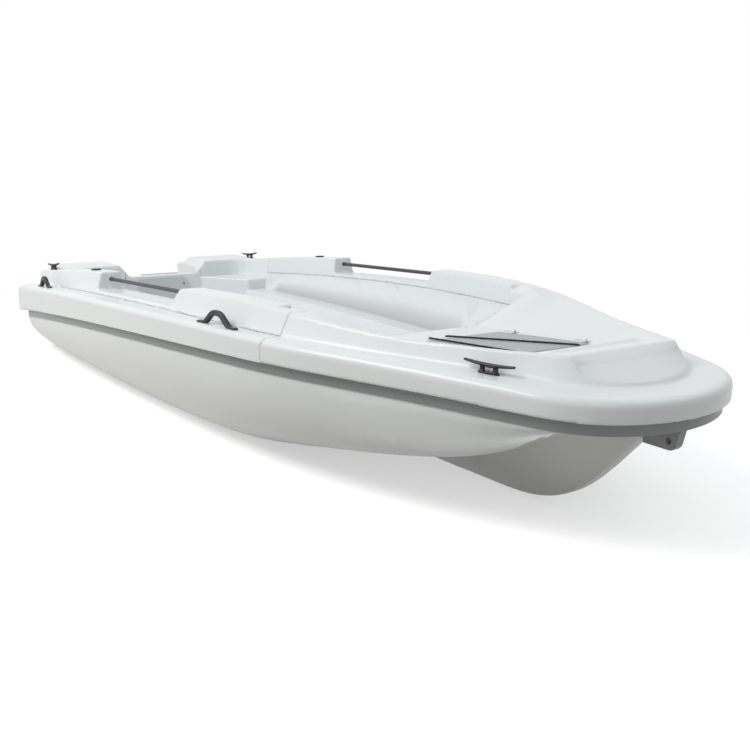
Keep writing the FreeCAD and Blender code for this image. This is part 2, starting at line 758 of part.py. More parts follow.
# Side notches under the handrails
notch_aft_x = at_station(size("notch_aft_station"))
notch_fore_x = notch_aft_x + size("notch_length")
notch_lean_share = 0.5
sill = Crown(size("ledge_radius"), ledge_x, size("ledge_crown_height") + size("notch_sill_rise"))
notch_top = sill.z(notch_fore_x) + 2 * size("rail_rise")
notch_lean = notch_lean_share * (notch_top - sill.z(notch_fore_x))
notch_face = Part.Face(Part.Wire([
    sill.edge(notch_aft_x, notch_fore_x),
    straight(Vector(notch_fore_x, 0, sill.z(notch_fore_x)),
             Vector(notch_fore_x + notch_lean, 0, notch_top)),
    straight(Vector(notch_fore_x + notch_lean, 0, notch_top), Vector(notch_aft_x, 0, notch_top)),
    straight(Vector(notch_aft_x, 0, notch_top), Vector(notch_aft_x, 0, sill.z(notch_aft_x))),
]))
notch_face.translate(Vector(0, -LENGTH / 2, 0))
notch = notch_face.extrude(Vector(0, LENGTH, 0))

outer_void = cockpit_void(size("liner_thickness")).cut(shelves)
inner_void = cockpit_void(0).cut(shelves)
open_deck = deck.cut(outer_void).cut(foredeck_well).cut(motor_cut).cut(niche)
open_deck = open_deck.cut(notch)
open_hull = hull.cut(outer_void).cut(niche)

# Locker under the hatch, with a seat all round for the lid
hatch_frame = FreeCAD.Placement(Vector(lid_aft_x, 0, well_z(lid_aft_x)),
                                FreeCAD.Rotation(Vector(0, 1, 0), -size("well_slope")))


def rounded_plate(length, width, radius, thickness):
    """Flat plate from X = 0 forward, centred on Y, with its top at Z = 0."""
    plate = Part.makeBox(length, width, thickness, Vector(0, -width / 2, -thickness))
    upright = [e for e in plate.Edges if abs(e.tangentAt(e.FirstParameter).z) == 1]
    return plate.makeFillet(radius, upright)


def on_hatch(shape):
    """Move a shape drawn on the lid's own plane to the foredeck."""
    moved = shape.copy()
    moved.Placement = hatch_frame
    return Part.makeCompound([moved]).Solids[0]


gap = size("lid_clearance")
lid_length = size("lid_length")
lid_width = size("lid_width")
lid_thick = size("lid_thickness")
lid_round = size("lid_corner_radius")
seat = size("lid_seat_width")
rebate = rounded_plate(lid_length + 2 * gap, lid_width + 2 * gap, lid_round + gap, 2 * lid_thick)
rebate.translate(Vector(-gap, 0, lid_thick))
locker_depth = well_z(lid_aft_x) - size("locker_floor_height")
locker = rounded_plate(lid_length - 2 * seat, lid_width - 2 * seat, lid_round, locker_depth)
locker.translate(Vector(seat, 0, 0))
rebate = on_hatch(rebate)
locker = on_hatch(locker)
open_deck = open_deck.cut(rebate).cut(locker)
open_hull = open_hull.cut(locker)


def upright_edges(shape):
    """Names of the edges of a box that stand along its own Z."""
    return ["Edge%d" % (i + 1) for i, e in enumerate(shape.Edges)
            if abs(e.tangentAt(e.FirstParameter).z) == 1]


lid_body = doc.addObject("PartDesign::Body", "hatch_lid")
lid_slab = lid_body.newObject("PartDesign::AdditiveBox", "lid_slab")
lid_slab.setExpression("Length", "sizes.lid_length")
lid_slab.setExpression("Width", "sizes.lid_width")
lid_slab.setExpression("Height", "sizes.lid_thickness")
doc.recompute()
lid_corners = lid_body.newObject("PartDesign::Fillet", "lid_corners")
lid_corners.Base = (lid_slab, upright_edges(lid_slab.Shape))
lid_corners.setExpression("Radius", "sizes.lid_corner_radius")
lid_body.Tip = lid_corners
lid_place = hatch_frame.multiply(FreeCAD.Placement(Vector(0, -lid_width / 2, -lid_thick),
                                                   FreeCAD.Rotation()))
finished("hatch_lid", lid_body, lid_place)

# Two hinges on the lid's port edge: a fixed leaf with the pin and the end knuckles, and a
# moving leaf with the middle knuckle. Each is drawn with its line along X through Y = Z = 0.
knuckle_r = size("hinge_knuckle_diameter") / 2
running = size("hinge_clearance")
hinge_y = lid_width / 2 + gap / 2
hinge_span = size("hinge_length")
third = hinge_span / 3
along = FreeCAD.Rotation(Vector(0, 1, 0), 90)


def hinge_bar(name, start, length, radius, clear="0"):
    """Round bar along the hinge line, longer and thicker by a clearance."""
    margin = running if clear != "0" else 0
    return bound("Part::Cylinder", name, FreeCAD.Placement(Vector(start - margin, 0, 0), along),
                 Radius=radius + " + " + clear, Height=length + " + 2 * " + clear)


def hinge_base(name):
    """Fixed leaf: plate, two end knuckles and the pin, open round the middle knuckle."""
    plate = bound("Part::Box", name + "_plate",
                  FreeCAD.Placement(Vector(0, 0, -knuckle_r), FreeCAD.Rotation()),
                  Length="sizes.hinge_length", Width="sizes.hinge_leaf_width",
                  Height="sizes.hinge_leaf_thickness")
    space = hinge_bar(name + "_space", third, "sizes.hinge_length / 3",
                      "sizes.hinge_knuckle_diameter / 2", "sizes.hinge_clearance")
    knuckles = [hinge_bar(name + "_knuckle_" + end, start, "sizes.hinge_length / 3",
                          "sizes.hinge_knuckle_diameter / 2")
                for end, start in (("aft", 0), ("fore", 2 * third))]
    pin = hinge_bar(name + "_pin", 0, "sizes.hinge_length", "sizes.hinge_pin_diameter / 2")
    return joined(name, [less(name + "_leaf", plate, space)] + knuckles + [pin])


def hinge_leaf(name):
    """Moving leaf: plate and middle knuckle, bored for the pin."""
    plate = bound("Part::Box", name + "_plate",
                  FreeCAD.Placement(Vector(0, -size("hinge_leaf_width"), -knuckle_r),
                                    FreeCAD.Rotation()),
                  Length="sizes.hinge_length", Width="sizes.hinge_leaf_width",
                  Height="sizes.hinge_leaf_thickness")
    aft = hinge_bar(name + "_space_aft", 0, "sizes.hinge_length / 3",
                    "sizes.hinge_knuckle_diameter / 2", "sizes.hinge_clearance")
    fore = hinge_bar(name + "_space_fore", 2 * third, "sizes.hinge_length / 3",
                     "sizes.hinge_knuckle_diameter / 2", "sizes.hinge_clearance")
    middle = bound("Part::Cylinder", name + "_knuckle",
                   FreeCAD.Placement(Vector(third + running, 0, 0), along),
                   Radius="sizes.hinge_knuckle_diameter / 2",
                   Height="sizes.hinge_length / 3 - 2 * sizes.hinge_clearance")
    bore = hinge_bar(name + "_bore", 0, "sizes.hinge_length", "sizes.hinge_pin_diameter / 2",
                     "sizes.hinge_clearance")
    leaf = less(name + "_open", less(name + "_half_open", plate, aft), fore)
    return less(name, joined(name + "_solid", [leaf, middle]), bore)


for end, start in [("aft", size("hinge_end_distance")),
                   ("fore", lid_length - size("hinge_end_distance") - hinge_span)]:
    hinge_place = hatch_frame.multiply(FreeCAD.Placement(Vector(start, hinge_y, knuckle_r),
                                                         FreeCAD.Rotation()))
    finished("hinge_base_" + end, hinge_base("hinge_base_" + end), hinge_place)
    finished("hinge_leaf_" + end, hinge_leaf("hinge_leaf_" + end), hinge_place)

# Elastic cord stretched over the lid in two strands, as shares of the lid's width
cord_r = size("cord_diameter") / 2
strand_shares = {"port": (-0.17, 0.29), "starboard": (-0.38, -0.42)}
for side, (aft_share, fore_share) in strand_shares.items():
    start = Vector(-size("cord_overhang"), aft_share * lid_width, cord_r + running)
    end = Vector(lid_length + size("cord_overhang") / 2, fore_share * lid_width, cord_r + running)
    strand = bound("Part::Cylinder", "hatch_cord_" + side, None, Radius="sizes.cord_diameter / 2")
    strand.Height = (end - start).Length
    turned = FreeCAD.Placement(start, FreeCAD.Rotation(Vector(0, 0, 1), end - start))
    finished("hatch_cord_" + side, strand, hatch_frame.multiply(turned))

# Handrail tubes in the side notches, let into the coaming at both ends
rail_r = size("rail_diameter") / 2
rail_start_x = notch_aft_x - size("rail_end_embed")
rail_end_x = notch_fore_x + notch_lean_share * size("rail_rise") + size("rail_end_embed")


def outer_face(x, z):
    """Y of the outer face of the coaming at x and height z."""
    share = (z - size("block_foot_height")) / (size("rim_plan_height") - size("block_foot_height"))
    return block_plan.half_breadth(x) * (1 - share) + rim_plan.half_breadth(x) * share


def wall_middle(x, z):
    """Y of the middle of the coaming wall at x and height z."""
    inner = skirt_plan.half_breadth(x, size("skirt_half_beam") - size("cockpit_half_beam"))
    return (outer_face(x, z) + inner) / 2


def rail_point(x):
    z = sill.z(x) + size("rail_rise")
    return Vector(x, wall_middle(x, z), z)


rail_from = rail_point(rail_start_x)
rail_to = rail_point(rail_end_x)
rail_line = rail_to - rail_from
rail_port = Part.makeCylinder(rail_r, rail_line.Length, rail_from, rail_line)


def handrail(name):
    tube = bound("Part::Cylinder", name, None, Radius="sizes.rail_diameter / 2")
    tube.Height = rail_line.Length
    return tube


rail_place = FreeCAD.Placement(rail_from, FreeCAD.Rotation(Vector(0, 0, 1), rail_line))
pair("handrail", handrail, rail_place)
open_deck = open_deck.cut(rail_port).cut(mirrored(rail_port))

# Collars moulded at the ends of the tubes, square to the faces of the notch
socket_aft_at = rail_from + rail_line * ((notch_aft_x - rail_start_x) / rail_line.x)
face_fore_x = notch_fore_x + notch_lean_share * size("rail_rise")
socket_fore_at = rail_from + rail_line * ((face_fore_x - rail_start_x) / rail_line.x)
socket_fore_at.z = sill.z(notch_fore_x) + (socket_fore_at.x - notch_fore_x) / notch_lean_share
lean_angle = math.degrees(math.atan(notch_lean_share))
socket_places = {
    "aft": FreeCAD.Placement(socket_aft_at, FreeCAD.Rotation(Vector(0, 1, 0), 90)),
    "fore": FreeCAD.Placement(socket_fore_at, FreeCAD.Rotation(Vector(0, 1, 0), lean_angle - 90)),
}
collars = []
for collar_place in socket_places.values():
    collar = Part.makeCone(size("socket_diameter") / 2, rail_r + size("socket_length") / 3,
                           size("socket_length"))
    collar.Placement = collar_place
    collars.append(collar)


def on_ledge(x, inset):
    """Placement on the ledge, X along the side of the boat, Z square to the ledge."""
    step = LENGTH / 1000
    climb = math.degrees(math.atan2(ledge.z(x + step) - ledge.z(x - step), 2 * step))
    turn = FreeCAD.Rotation(Vector(0, 0, 1), -skirt_plan.slope_angle(x))
    tilt = FreeCAD.Rotation(Vector(0, 1, 0), -climb)
    return FreeCAD.Placement(Vector(x, skirt_plan.half_breadth(x) - inset, ledge.z(x)),
                             tilt.multiply(turn))


# Grab handle: the side outline of an arch between two flat feet, given its width and
# bevelled along the edges that a hand closes on
handle_turn = math.radians(size("handle_arc_angle"))
handle_half = size("handle_span") / 2
bar = size("handle_bar_thickness")
foot_z = size("handle_foot_thickness")
arc_centre = Vector(0, 0, size("handle_rise") - bar / 2 - size("handle_arc_radius"))


def other_end(point):
    return Vector(-point.x, point.y, point.z)


def arch_line(radius, low_z):
    """One line of the arch's outline: chords over the crown and a straight leg at each end."""
    turns = [handle_turn * (2 * i / handle_chords - 1) for i in range(handle_chords + 1)]
    points = [arc_centre + Vector(math.sin(turn), 0, math.cos(turn)) * radius for turn in turns]
    fall = (points[-1].z - low_z) / math.tan(handle_turn)
    foot = Vector(points[-1].x + fall, 0, low_z)
    return [other_end(foot)] + points + [foot]


outer_line = arch_line(size("handle_arc_radius") + bar / 2, foot_z)
inner_line = arch_line(size("handle_arc_radius") - bar / 2, 0)
foot_tip = [Vector(handle_half - foot_z / 2, 0, foot_z), Vector(handle_half, 0, foot_z / 2),
            Vector(handle_half, 0, 0)]
outline = ring_of(outer_line + foot_tip + inner_line[::-1]
                  + [other_end(point) for point in reversed(foot_tip)])
handle = Part.Face(outline).extrude(Vector(0, size("handle_width"), 0))
handle.translate(Vector(0, -size("handle_width") / 2, 0))
gripped = []
for edge in handle.Edges:
    middle = edge.valueAt((edge.FirstParameter + edge.LastParameter) / 2)
    runs_along = abs(edge.tangentAt(edge.FirstParameter).y) < 1 / 2
    on_arch = abs(middle.x) < outer_line[-1].x and middle.z > size("liner_thickness") / 2
    if runs_along and on_arch:
        gripped.append(edge)
handle = handle.makeChamfer(size("handle_edge_bevel"), gripped)

# Horn cleat: the side outline of the bar, its horns and its legs, given its width and
# bevelled, on a flat foot with cut corners
cleat_half = size("cleat_length") / 2
bar = size("cleat_bar_thickness")
tip = size("cleat_tip_thickness")
leg_out = (size("cleat_leg_spacing") + size("cleat_leg_thickness")) / 2
leg_in = (size("cleat_leg_spacing") - size("cleat_leg_thickness")) / 2
foot_half = size("cleat_foot_length") / 2
plate_z = size("cleat_plate_thickness")
horn_rise = (cleat_half - leg_out) * math.tan(math.radians(size("cleat_horn_angle")))
bar_top = size("cleat_height") - horn_rise
right = [Vector(leg_out, 0, 0), Vector(leg_out, 0, bar_top - bar),
         Vector(cleat_half, 0, size("cleat_height") - tip),
         Vector(cleat_half, 0, size("cleat_height")), Vector(leg_out, 0, bar_top)]
cleat_ring = ring_of(right + [other_end(point) for point in reversed(right)])
eyelet = ring_of([Vector(-leg_in, 0, plate_z), Vector(leg_in, 0, plate_z),
                  Vector(leg_in, 0, bar_top - bar), Vector(-leg_in, 0, bar_top - bar)])
cleat = Part.Face(cleat_ring).cut(Part.Face(eyelet)).Faces[0].extrude(Vector(0, bar, 0))
cleat.translate(Vector(0, -bar / 2, 0))
horn_edges = [e for e in cleat.Edges
              if e.CenterOfMass.z > bar_top - bar / 2 and abs(e.tangentAt(e.FirstParameter).y) < 1 / 2
              and e.Length > bar]
cleat = cleat.makeChamfer(bar / 4, horn_edges)
cleat_foot = Part.makeBox(2 * foot_half, size("cleat_width"), plate_z,
                          Vector(-foot_half, -size("cleat_width") / 2, 0))
foot_edges = [e for e in cleat_foot.Edges if abs(e.tangentAt(e.FirstParameter).z) == 1]
cleat = cleat.fuse(cleat_foot.makeChamfer(size("cleat_width") / 4, foot_edges)).removeSplitter()


def seated_pair(name, shape, place):
    """The same moulding seated on each side."""
    for side, where in (("port", place), ("starboard", across(place))):
        piece = keep(name + "_" + side, shape)
        piece.Placement = where


seated_pair("bow_cleat", cleat, on_ledge(abaft_bow(size("bow_cleat_setback")), size("bow_cleat_inset")))
stern_x = at_station(size("stern_cleat_station"))


def on_coaming(x):
    """Placement on the coaming top over the middle of its wall."""
    z = coaming_z(x)
    step = LENGTH / 1000
    climb = math.degrees(math.atan2(coaming_z(x + step) - coaming_z(x - step), 2 * step))
    return FreeCAD.Placement(Vector(x, wall_middle(x, z), z),
                             FreeCAD.Rotation(Vector(0, 1, 0), -climb))


stern_seat = on_coaming(stern_x)
stern_seat.Base.y = outer_face(stern_x, stern_seat.Base.z) - size("stern_cleat_inset")
stern_seat.Base.z += running
seated_pair("stern_cleat", cleat, stern_seat)
for name in ("aft", "mid"):
    handle_seat = on_ledge(at_station(size("handle_%s_station" % name)), size("handle_inset"))
    seated_pair("grab_handle_" + name, handle, handle_seat)

# Rowlock sockets let into the coaming top abaft the handrails
socket_seat = on_coaming(at_station(size("rowlock_station")))
flange_r = size("rowlock_flange_diameter") / 2
bore_r = size("rowlock_bore") / 2
sleeve_r = (flange_r + bore_r) / 2


def rowlock_socket(name):
    """Flange on the coaming with a sleeve under it, bored from end to end."""
    down = FreeCAD.Placement(Vector(0, 0, -size("rowlock_depth")), FreeCAD.Rotation())
    flange = bound("Part::Cylinder", name + "_flange", None,
                   Radius="sizes.rowlock_flange_diameter / 2",
                   Height="sizes.rowlock_flange_thickness")
    sleeve = bound("Part::Cylinder", name + "_sleeve", down,
                   Radius="(sizes.rowlock_flange_diameter + sizes.rowlock_bore) / 4",
                   Height="sizes.rowlock_depth")
    bore = bound("Part::Cylinder", name + "_bore", down, Radius="sizes.rowlock_bore / 2",
                 Height="sizes.rowlock_depth + sizes.overrun")
    return less(name, joined(name + "_solid", [flange, sleeve]), bore)


pair("rowlock_socket", rowlock_socket, socket_seat)
pocket = Part.makeCylinder(sleeve_r, 2 * size("rowlock_depth"), Vector(0, 0, -size("rowlock_depth")))
pocket.Placement = socket_seat
open_deck = open_deck.cut(pocket).cut(mirrored(pocket))

# Motor pads on both faces of the transom, with bevelled upper corners
transom_fore_x = cockpit_aft_x
inner_top = size("cutout_height") - size("pad_top_drop")
outer_top = size("cutout_height") + size("pad_top_drop") / 2
outer_height = outer_top - size("niche_floor_height") - size("pad_top_drop")


def motor_pad(name, x, top, height, corners):
    """Clamping plate on a face of the transom."""
    body = doc.addObject("PartDesign::Body", name)
    slab = body.newObject("PartDesign::AdditiveBox", name + "_slab")
    slab.setExpression("Length", "sizes.pad_thickness")
    slab.setExpression("Width", "sizes.pad_width")
    slab.Height = height
    doc.recompute()
    upper = []
    for i, edge in enumerate(slab.Shape.Edges):
        middle = edge.valueAt((edge.FirstParameter + edge.LastParameter) / 2)
        lies_along = abs(edge.tangentAt(edge.FirstParameter).x) == 1
        if lies_along and middle.z > height / 2 and middle.y / size("pad_width") > 1 - corners / 2 - 1 / 4:
            upper.append("Edge%d" % (i + 1))
    bevel = body.newObject("PartDesign::Chamfer", name + "_bevel")
    bevel.Base = (slab, upper)
    bevel.setExpression("Size", "sizes.pad_corner")
    body.Tip = bevel
    finished(name, body, FreeCAD.Placement(Vector(x, -size("pad_width") / 2, top - height),
                                           FreeCAD.Rotation()))


motor_pad("motor_pad_inner", transom_fore_x, inner_top, size("pad_height"), 1)
motor_pad("motor_pad_outer", niche_fore_x - size("pad_thickness"), outer_top, outer_height, 2)

# Drain bung in the aft face of the hull
bung_z = size("niche_floor_height") / 2
bung_plug = bound("Part::Cylinder", "bung_plug", None, Radius="sizes.bung_diameter / 2",
                  Height="sizes.bung_length")
bung_slot = bound("Part::Box", "bung_slot",
                  FreeCAD.Placement(Vector(-size("bung_diameter") / 8, -size("bung_diameter") / 4,
                                           size("bung_length") / 2), FreeCAD.Rotation()),
                  Length="sizes.bung_diameter / 4", Width="sizes.bung_diameter / 2",
                  Height="sizes.bung_length")
finished("drain_bung", less("drain_bung", bung_plug, bung_slot),
         FreeCAD.Placement(Vector(hull_aft_x, 0, bung_z), FreeCAD.Rotation(Vector(0, 1, 0), -90)))

# Towing eye: a fin moulded under the stem, bored across
eye_z = size("eye_bore_height")
eye_r = eye_z - size("eye_bottom_height")
nose_x = at_station(LENGTH) - hull_inset
eye_x = nose_x - size("eye_bore_inset")
eye_aft = stem_foot_x - eye_r
half_eye = size("eye_thickness") / 2
top_eye = sheer.z(nose_x)
corner = Vector(eye_x + eye_r * math.cos(math.radians(-45)), -half_eye,
                eye_z + eye_r * math.sin(math.radians(-45)))
eye_ring = Part.Wire([
    straight(Vector(eye_aft, -half_eye, top_eye), Vector(eye_aft, -half_eye, eye_z - eye_r)),
    straight(Vector(eye_aft, -half_eye, eye_z - eye_r), Vector(eye_x, -half_eye, eye_z - eye_r)),
    Part.Arc(Vector(eye_x, -half_eye, eye_z - eye_r), corner,
             Vector(eye_x + eye_r, -half_eye, eye_z)).toShape(),
    straight(Vector(eye_x + eye_r, -half_eye, eye_z), Vector(nose_x, -half_eye, top_eye)),
    straight(Vector(nose_x, -half_eye, top_eye), Vector(eye_aft, -half_eye, top_eye)),
])
fin = Part.Face(eye_ring).extrude(Vector(0, 2 * half_eye, 0))
fin = fin.cut(Part.makeCylinder(size("eye_bore") / 2, 2 * half_eye,
                                Vector(eye_x, -half_eye, eye_z), Vector(0, 1, 0)))
fin = fin.common(under_sheer).cut(hull)
fin = max(fin.Solids, key=lambda solid: solid.Volume)
keep("towing_eye", fin)

# Grey band round the hull under the skirt, ending at the transom
band_outer = prism(skirt_plan.wire(hull_inset - size("band_thickness"), hull_aft_x,
                                   size("stern_corner_radius") / 2, 0), 0, top_z)
low_sheer = Crown(size("sheer_radius"), sheer_x, size("sheer_crown_height") - size("band_height"))
under_band = side_profile_solid([low_sheer.edge(STERN_X - OVERRUN, -STERN_X + OVERRUN)], -OVERRUN)
band = band_outer.cut(hull_prism).common(under_sheer).cut(under_band)
band_end = Part.makeBox(OVERRUN, LENGTH, top_z,
                        Vector(hull_aft_x + size("stern_corner_radius") - OVERRUN, -LENGTH / 2, 0))
eye_slot = Part.makeBox(OVERRUN, 2 * half_eye, top_z, Vector(eye_x, -half_eye, 0))
band = band.cut(band_end).cut(eye_slot)
sides = sorted(band.Solids, key=lambda solid: solid.CenterOfMass.y)
keep("rub_band_starboard", sides[0])
keep("rub_band_port", sides[-1])

# The deck in its natural parts: side decks and the coamings on them, foredeck with its
# breakwater, stern quarters with their wings, and the transom between these
bulkhead_x = abaft_bow(size("cockpit_fore_setback")) + size("liner_thickness")


def span(from_x, to_x, from_y, to_y):
    """Upright block of space between two stations and two half-breadths."""
    return Part.makeBox(to_x - from_x, to_y - from_y, 2 * top_z, Vector(from_x, from_y, -top_z))


def largest(shape):
    return max(shape.Solids, key=lambda solid: solid.Volume)


ahead = span(bulkhead_x, LENGTH, -LENGTH, LENGTH)
abaft = span(-LENGTH, shelf_fore_x, niche_half, LENGTH)
between = span(shelf_fore_x, bulkhead_x, 0, LENGTH)
amidships = span(-LENGTH, shelf_fore_x, -niche_half, niche_half)
fore_part = open_deck.common(ahead)
side_part = open_deck.common(between)
quarter = largest(open_deck.common(abaft))
side_deck = largest(side_part.common(under_ledge))
coaming = largest(side_part.cut(under_ledge))
for collar in collars:
    coaming = coaming.fuse(collar.cut(rail_port))
coaming = coaming.removeSplitter()
keep("foredeck", largest(fore_part.common(under_ledge)))
keep("breakwater", largest(fore_part.cut(under_ledge)))
keep("transom", largest(open_deck.common(amidships)))
for name, shape in (("stern_quarter", quarter), ("side_deck", side_deck), ("coaming", coaming)):
    keep(name + "_port", shape)
    keep(name + "_starboard", mirrored(shape))
keep("hull_shell", open_hull)

# Cockpit liner: a tub whose lip ends at the ledge, inside the coaming
liner = outer_void.cut(inner_void).common(under_ledge).cut(foredeck_well).cut(motor_cut)
keep("cockpit_liner", largest(liner))

doc.recompute()
for thing in doc.Objects:
    if "Invalid" in thing.State or "Error" in thing.State:
        raise RuntimeError("not built: " + thing.Name)
for piece in pieces:
    shape = piece.Shape
    if shape.isNull() or not shape.isValid() or len(shape.Solids) != 1:
        raise RuntimeError("bad solid: %s %d" % (piece.Label, len(shape.Solids)))

os.makedirs("parts", exist_ok=True)
for piece in pieces:
    piece.Shape.exportStep("parts/%s.step" % piece.Label)
    print(piece.Label, round(piece.Shape.Volume / 1e6, 3), piece.Shape.BoundBox)
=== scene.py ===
# %% [markdown]
# An open rowing boat with a three-keeled bottom, moulded in glass-reinforced plastic.
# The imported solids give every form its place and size. This lesson dresses them:
# gelcoat on the mouldings, soft edges where a mould has them, black nylon on the
# fittings, and the small trim that is too fine to be worth a solid.

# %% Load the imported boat
import math

import bmesh
import bpy
import numpy as np
from mathutils.bvhtree import BVHTree
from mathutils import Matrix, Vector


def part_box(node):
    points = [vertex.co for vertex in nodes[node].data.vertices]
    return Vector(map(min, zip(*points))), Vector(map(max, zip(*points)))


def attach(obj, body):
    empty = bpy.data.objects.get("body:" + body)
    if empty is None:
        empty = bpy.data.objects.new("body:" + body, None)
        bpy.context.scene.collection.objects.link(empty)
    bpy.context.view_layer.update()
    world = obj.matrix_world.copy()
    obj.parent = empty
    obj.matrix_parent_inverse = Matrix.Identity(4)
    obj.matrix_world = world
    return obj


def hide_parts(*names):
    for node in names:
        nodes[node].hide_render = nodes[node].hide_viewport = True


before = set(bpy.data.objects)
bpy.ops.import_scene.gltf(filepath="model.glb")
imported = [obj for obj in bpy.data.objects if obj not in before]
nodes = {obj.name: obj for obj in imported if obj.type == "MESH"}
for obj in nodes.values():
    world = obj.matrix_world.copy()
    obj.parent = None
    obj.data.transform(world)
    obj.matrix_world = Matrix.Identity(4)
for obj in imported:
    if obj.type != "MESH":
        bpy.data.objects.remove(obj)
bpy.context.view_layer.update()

sides = ("port", "starboard")

# %% [markdown]
# Camera first. The photograph was taken from beside the bow with a lens of about
# 48 mm on a 36 mm sensor, a little above the gunwale and leaning by one degree.
# The place and the turn come from fitting straight and level lines of the boat.

# %% Camera at the photograph's place
scene = bpy.context.scene


def placed(name, data):
    """New object for a camera, a lamp or a mesh, linked into the scene."""
    thing = bpy.data.objects.new(name, data)
    scene.collection.objects.link(thing)
    return thing


camera_data = bpy.data.cameras.new("camera")
camera_data.sensor_width = 36
camera_data.lens = 47.98
camera_data.shift_y = -0.0035
camera = placed("camera", camera_data)
camera.location = (3.5063, -2.2445, 1.1188)
camera.rotation_euler = [math.radians(angle) for angle in (76.815, -1.308, 54.110)]
scene.camera = camera
scene.view_settings.view_transform = "Standard"
print("camera at", tuple(round(c, 3) for c in camera.location))

# %% [markdown]
# Materials are node trees. Three helpers keep them short: one turns the hex colours
# of a colour picker into the linear numbers that the renderer wants, one adds a node
# with its settings and its links, and one starts an empty material.

# %% Helpers for materials
def linear(hex_colour):
    """sRGB hex to linear: a dark channel is divided by 12.92, a light one is raised to 2.4."""
    channels = np.array([int(hex_colour[i:i + 2], 16) for i in (1, 3, 5)]) / 255
    bent = np.where(channels <= 0.04045, channels / 12.92, ((channels + 0.055) / 1.055) ** 2.4)
    return (*bent.tolist(), 1.0)


def add(tree, kind, settings=None, links=None):
    """Add one node with its settings (attributes or input values) and the links into it."""
    node = tree.nodes.new(kind)
    for key, value in (settings or {}).items():
        if isinstance(key, str) and hasattr(node, key):
            setattr(node, key, value)
        else:
            node.inputs[key].default_value = value
    for key, source in (links or {}).items():
        tree.links.new(source, node.inputs[key])
    return node


def new_material(name):
    """Empty node material and its tree."""
    material = bpy.data.materials.new(name)
    material.use_nodes = True
    material.node_tree.nodes.clear()
    return material, material.node_tree


white = (1, 1, 1, 1)
print("white gelcoat #e6eaec is linear", np.round(linear("#e6eaec"), 3).tolist())

# %% [markdown]
# The boat is white on white, so the shading has to draw it. A pale sky lights it from
# all round. The camera and mirror-like rays see the world as plain white instead,
# which gives the white background without any more light on the boat.

# %% Sky
def seen_directly(tree):
    """1 for camera, glossy and transmission rays, 0 for the light that falls on things."""
    rays = add(tree, "ShaderNodeLightPath")
    seen = add(tree, "ShaderNodeMath", {"operation": "MAXIMUM"},
               {0: rays.outputs["Is Camera Ray"], 1: rays.outputs["Is Glossy Ray"]})
    return add(tree, "ShaderNodeMath", {"operation": "MAXIMUM"},
               {0: seen.outputs[0], 1: rays.outputs["Is Transmission Ray"]}).outputs[0]


world = bpy.data.worlds.new("studio")
scene.world = world
world.use_nodes = True
tree = world.node_tree
tree.nodes.clear()
sky = add(tree, "ShaderNodeBackground", {"Color": linear("#f4f6f7"), "Strength": 0.56})
backdrop = add(tree, "ShaderNodeBackground", {"Color": white, "Strength": 1.0})
mixed = add(tree, "ShaderNodeMixShader", None,
            {0: seen_directly(tree), 1: sky.outputs[0], 2: backdrop.outputs[0]})
add(tree, "ShaderNodeOutputWorld", None, {"Surface": mixed.outputs[0]})
print("sky of", len(tree.nodes), "nodes")

# %% [markdown]
# One large soft lamp stands high to starboard, a little aft of the middle. It makes
# the sloping flanks brightest and lets the front of the bow fall off. A weak one off
# the port bow keeps the far side from going dull.

# %% Lamps
def lamp(name, place, width, power, colour="#ffffff"):
    """Square area lamp at a place, turned to face the middle of the boat."""
    data = bpy.data.lights.new(name, "AREA")
    data.shape = "SQUARE"
    data.size = width
    data.energy = power
    data.color = linear(colour)[:3]
    thing = placed(name, data)
    thing.location = place
    back = np.array(place, float) - np.array((0, 0, 0.3))
    thing.rotation_euler = (math.atan2(math.hypot(back[0], back[1]), back[2]), 0,
                            math.atan2(back[0], -back[1]))


lamp("key lamp", (-1.2, -5.2, 5.9), 3.6, 335, "#fffdf9")
lamp("fill lamp", (3.0, 4.0, 4.5), 3.5, 30)

# %% [markdown]
# The floor is plain pale paper. Where the camera looks at it, a little light is
# added so that it reads as white, and the boat still darkens it with its shadow.
# Far from the boat it fades into the white of the backdrop. The light that it throws
# up under the boat is that of a warm grey studio floor, so the bottom goes dark.

# %% Floor
reach, fade_from, fade_to = 14.0, 1.6, 3.6
floor_mesh = bpy.data.meshes.new("floor")
floor_mesh.from_pydata([(-reach, -reach, 0), (reach, -reach, 0), (reach, reach, 0),
                        (-reach, reach, 0)], [], [(0, 1, 2, 3)])
floor = placed("floor", floor_mesh)
paper, tree = new_material("pale studio paper")
paper_face = add(tree, "ShaderNodeBsdfDiffuse", {"Color": linear("#eeeff0")})
lift = add(tree, "ShaderNodeEmission", {"Color": white, "Strength": 0.5})
ground = add(tree, "ShaderNodeBsdfDiffuse", {"Color": linear("#aaa49b")})
lit = add(tree, "ShaderNodeAddShader", None, {0: paper_face.outputs[0], 1: lift.outputs[0]})
far_white = add(tree, "ShaderNodeEmission", {"Color": white, "Strength": 1.0})
place = add(tree, "ShaderNodeTexCoord")
away = add(tree, "ShaderNodeVectorMath", {"operation": "LENGTH"}, {0: place.outputs["Object"]})
fade = add(tree, "ShaderNodeMapRange",
           {"interpolation_type": "SMOOTHSTEP", "From Min": fade_from, "From Max": fade_to},
           {"Value": away.outputs["Value"]})
seen_floor = add(tree, "ShaderNodeMixShader", None,
                 {0: fade.outputs[0], 1: lit.outputs[0], 2: far_white.outputs[0]})
floor_shader = add(tree, "ShaderNodeMixShader", None,
                   {0: seen_directly(tree), 1: ground.outputs[0], 2: seen_floor.outputs[0]})
add(tree, "ShaderNodeOutputMaterial", None, {"Surface": floor_shader.outputs[0]})
floor_mesh.materials.append(paper)
print("floor of", 2 * reach, "m, white beyond", fade_to, "m from the boat's middle")

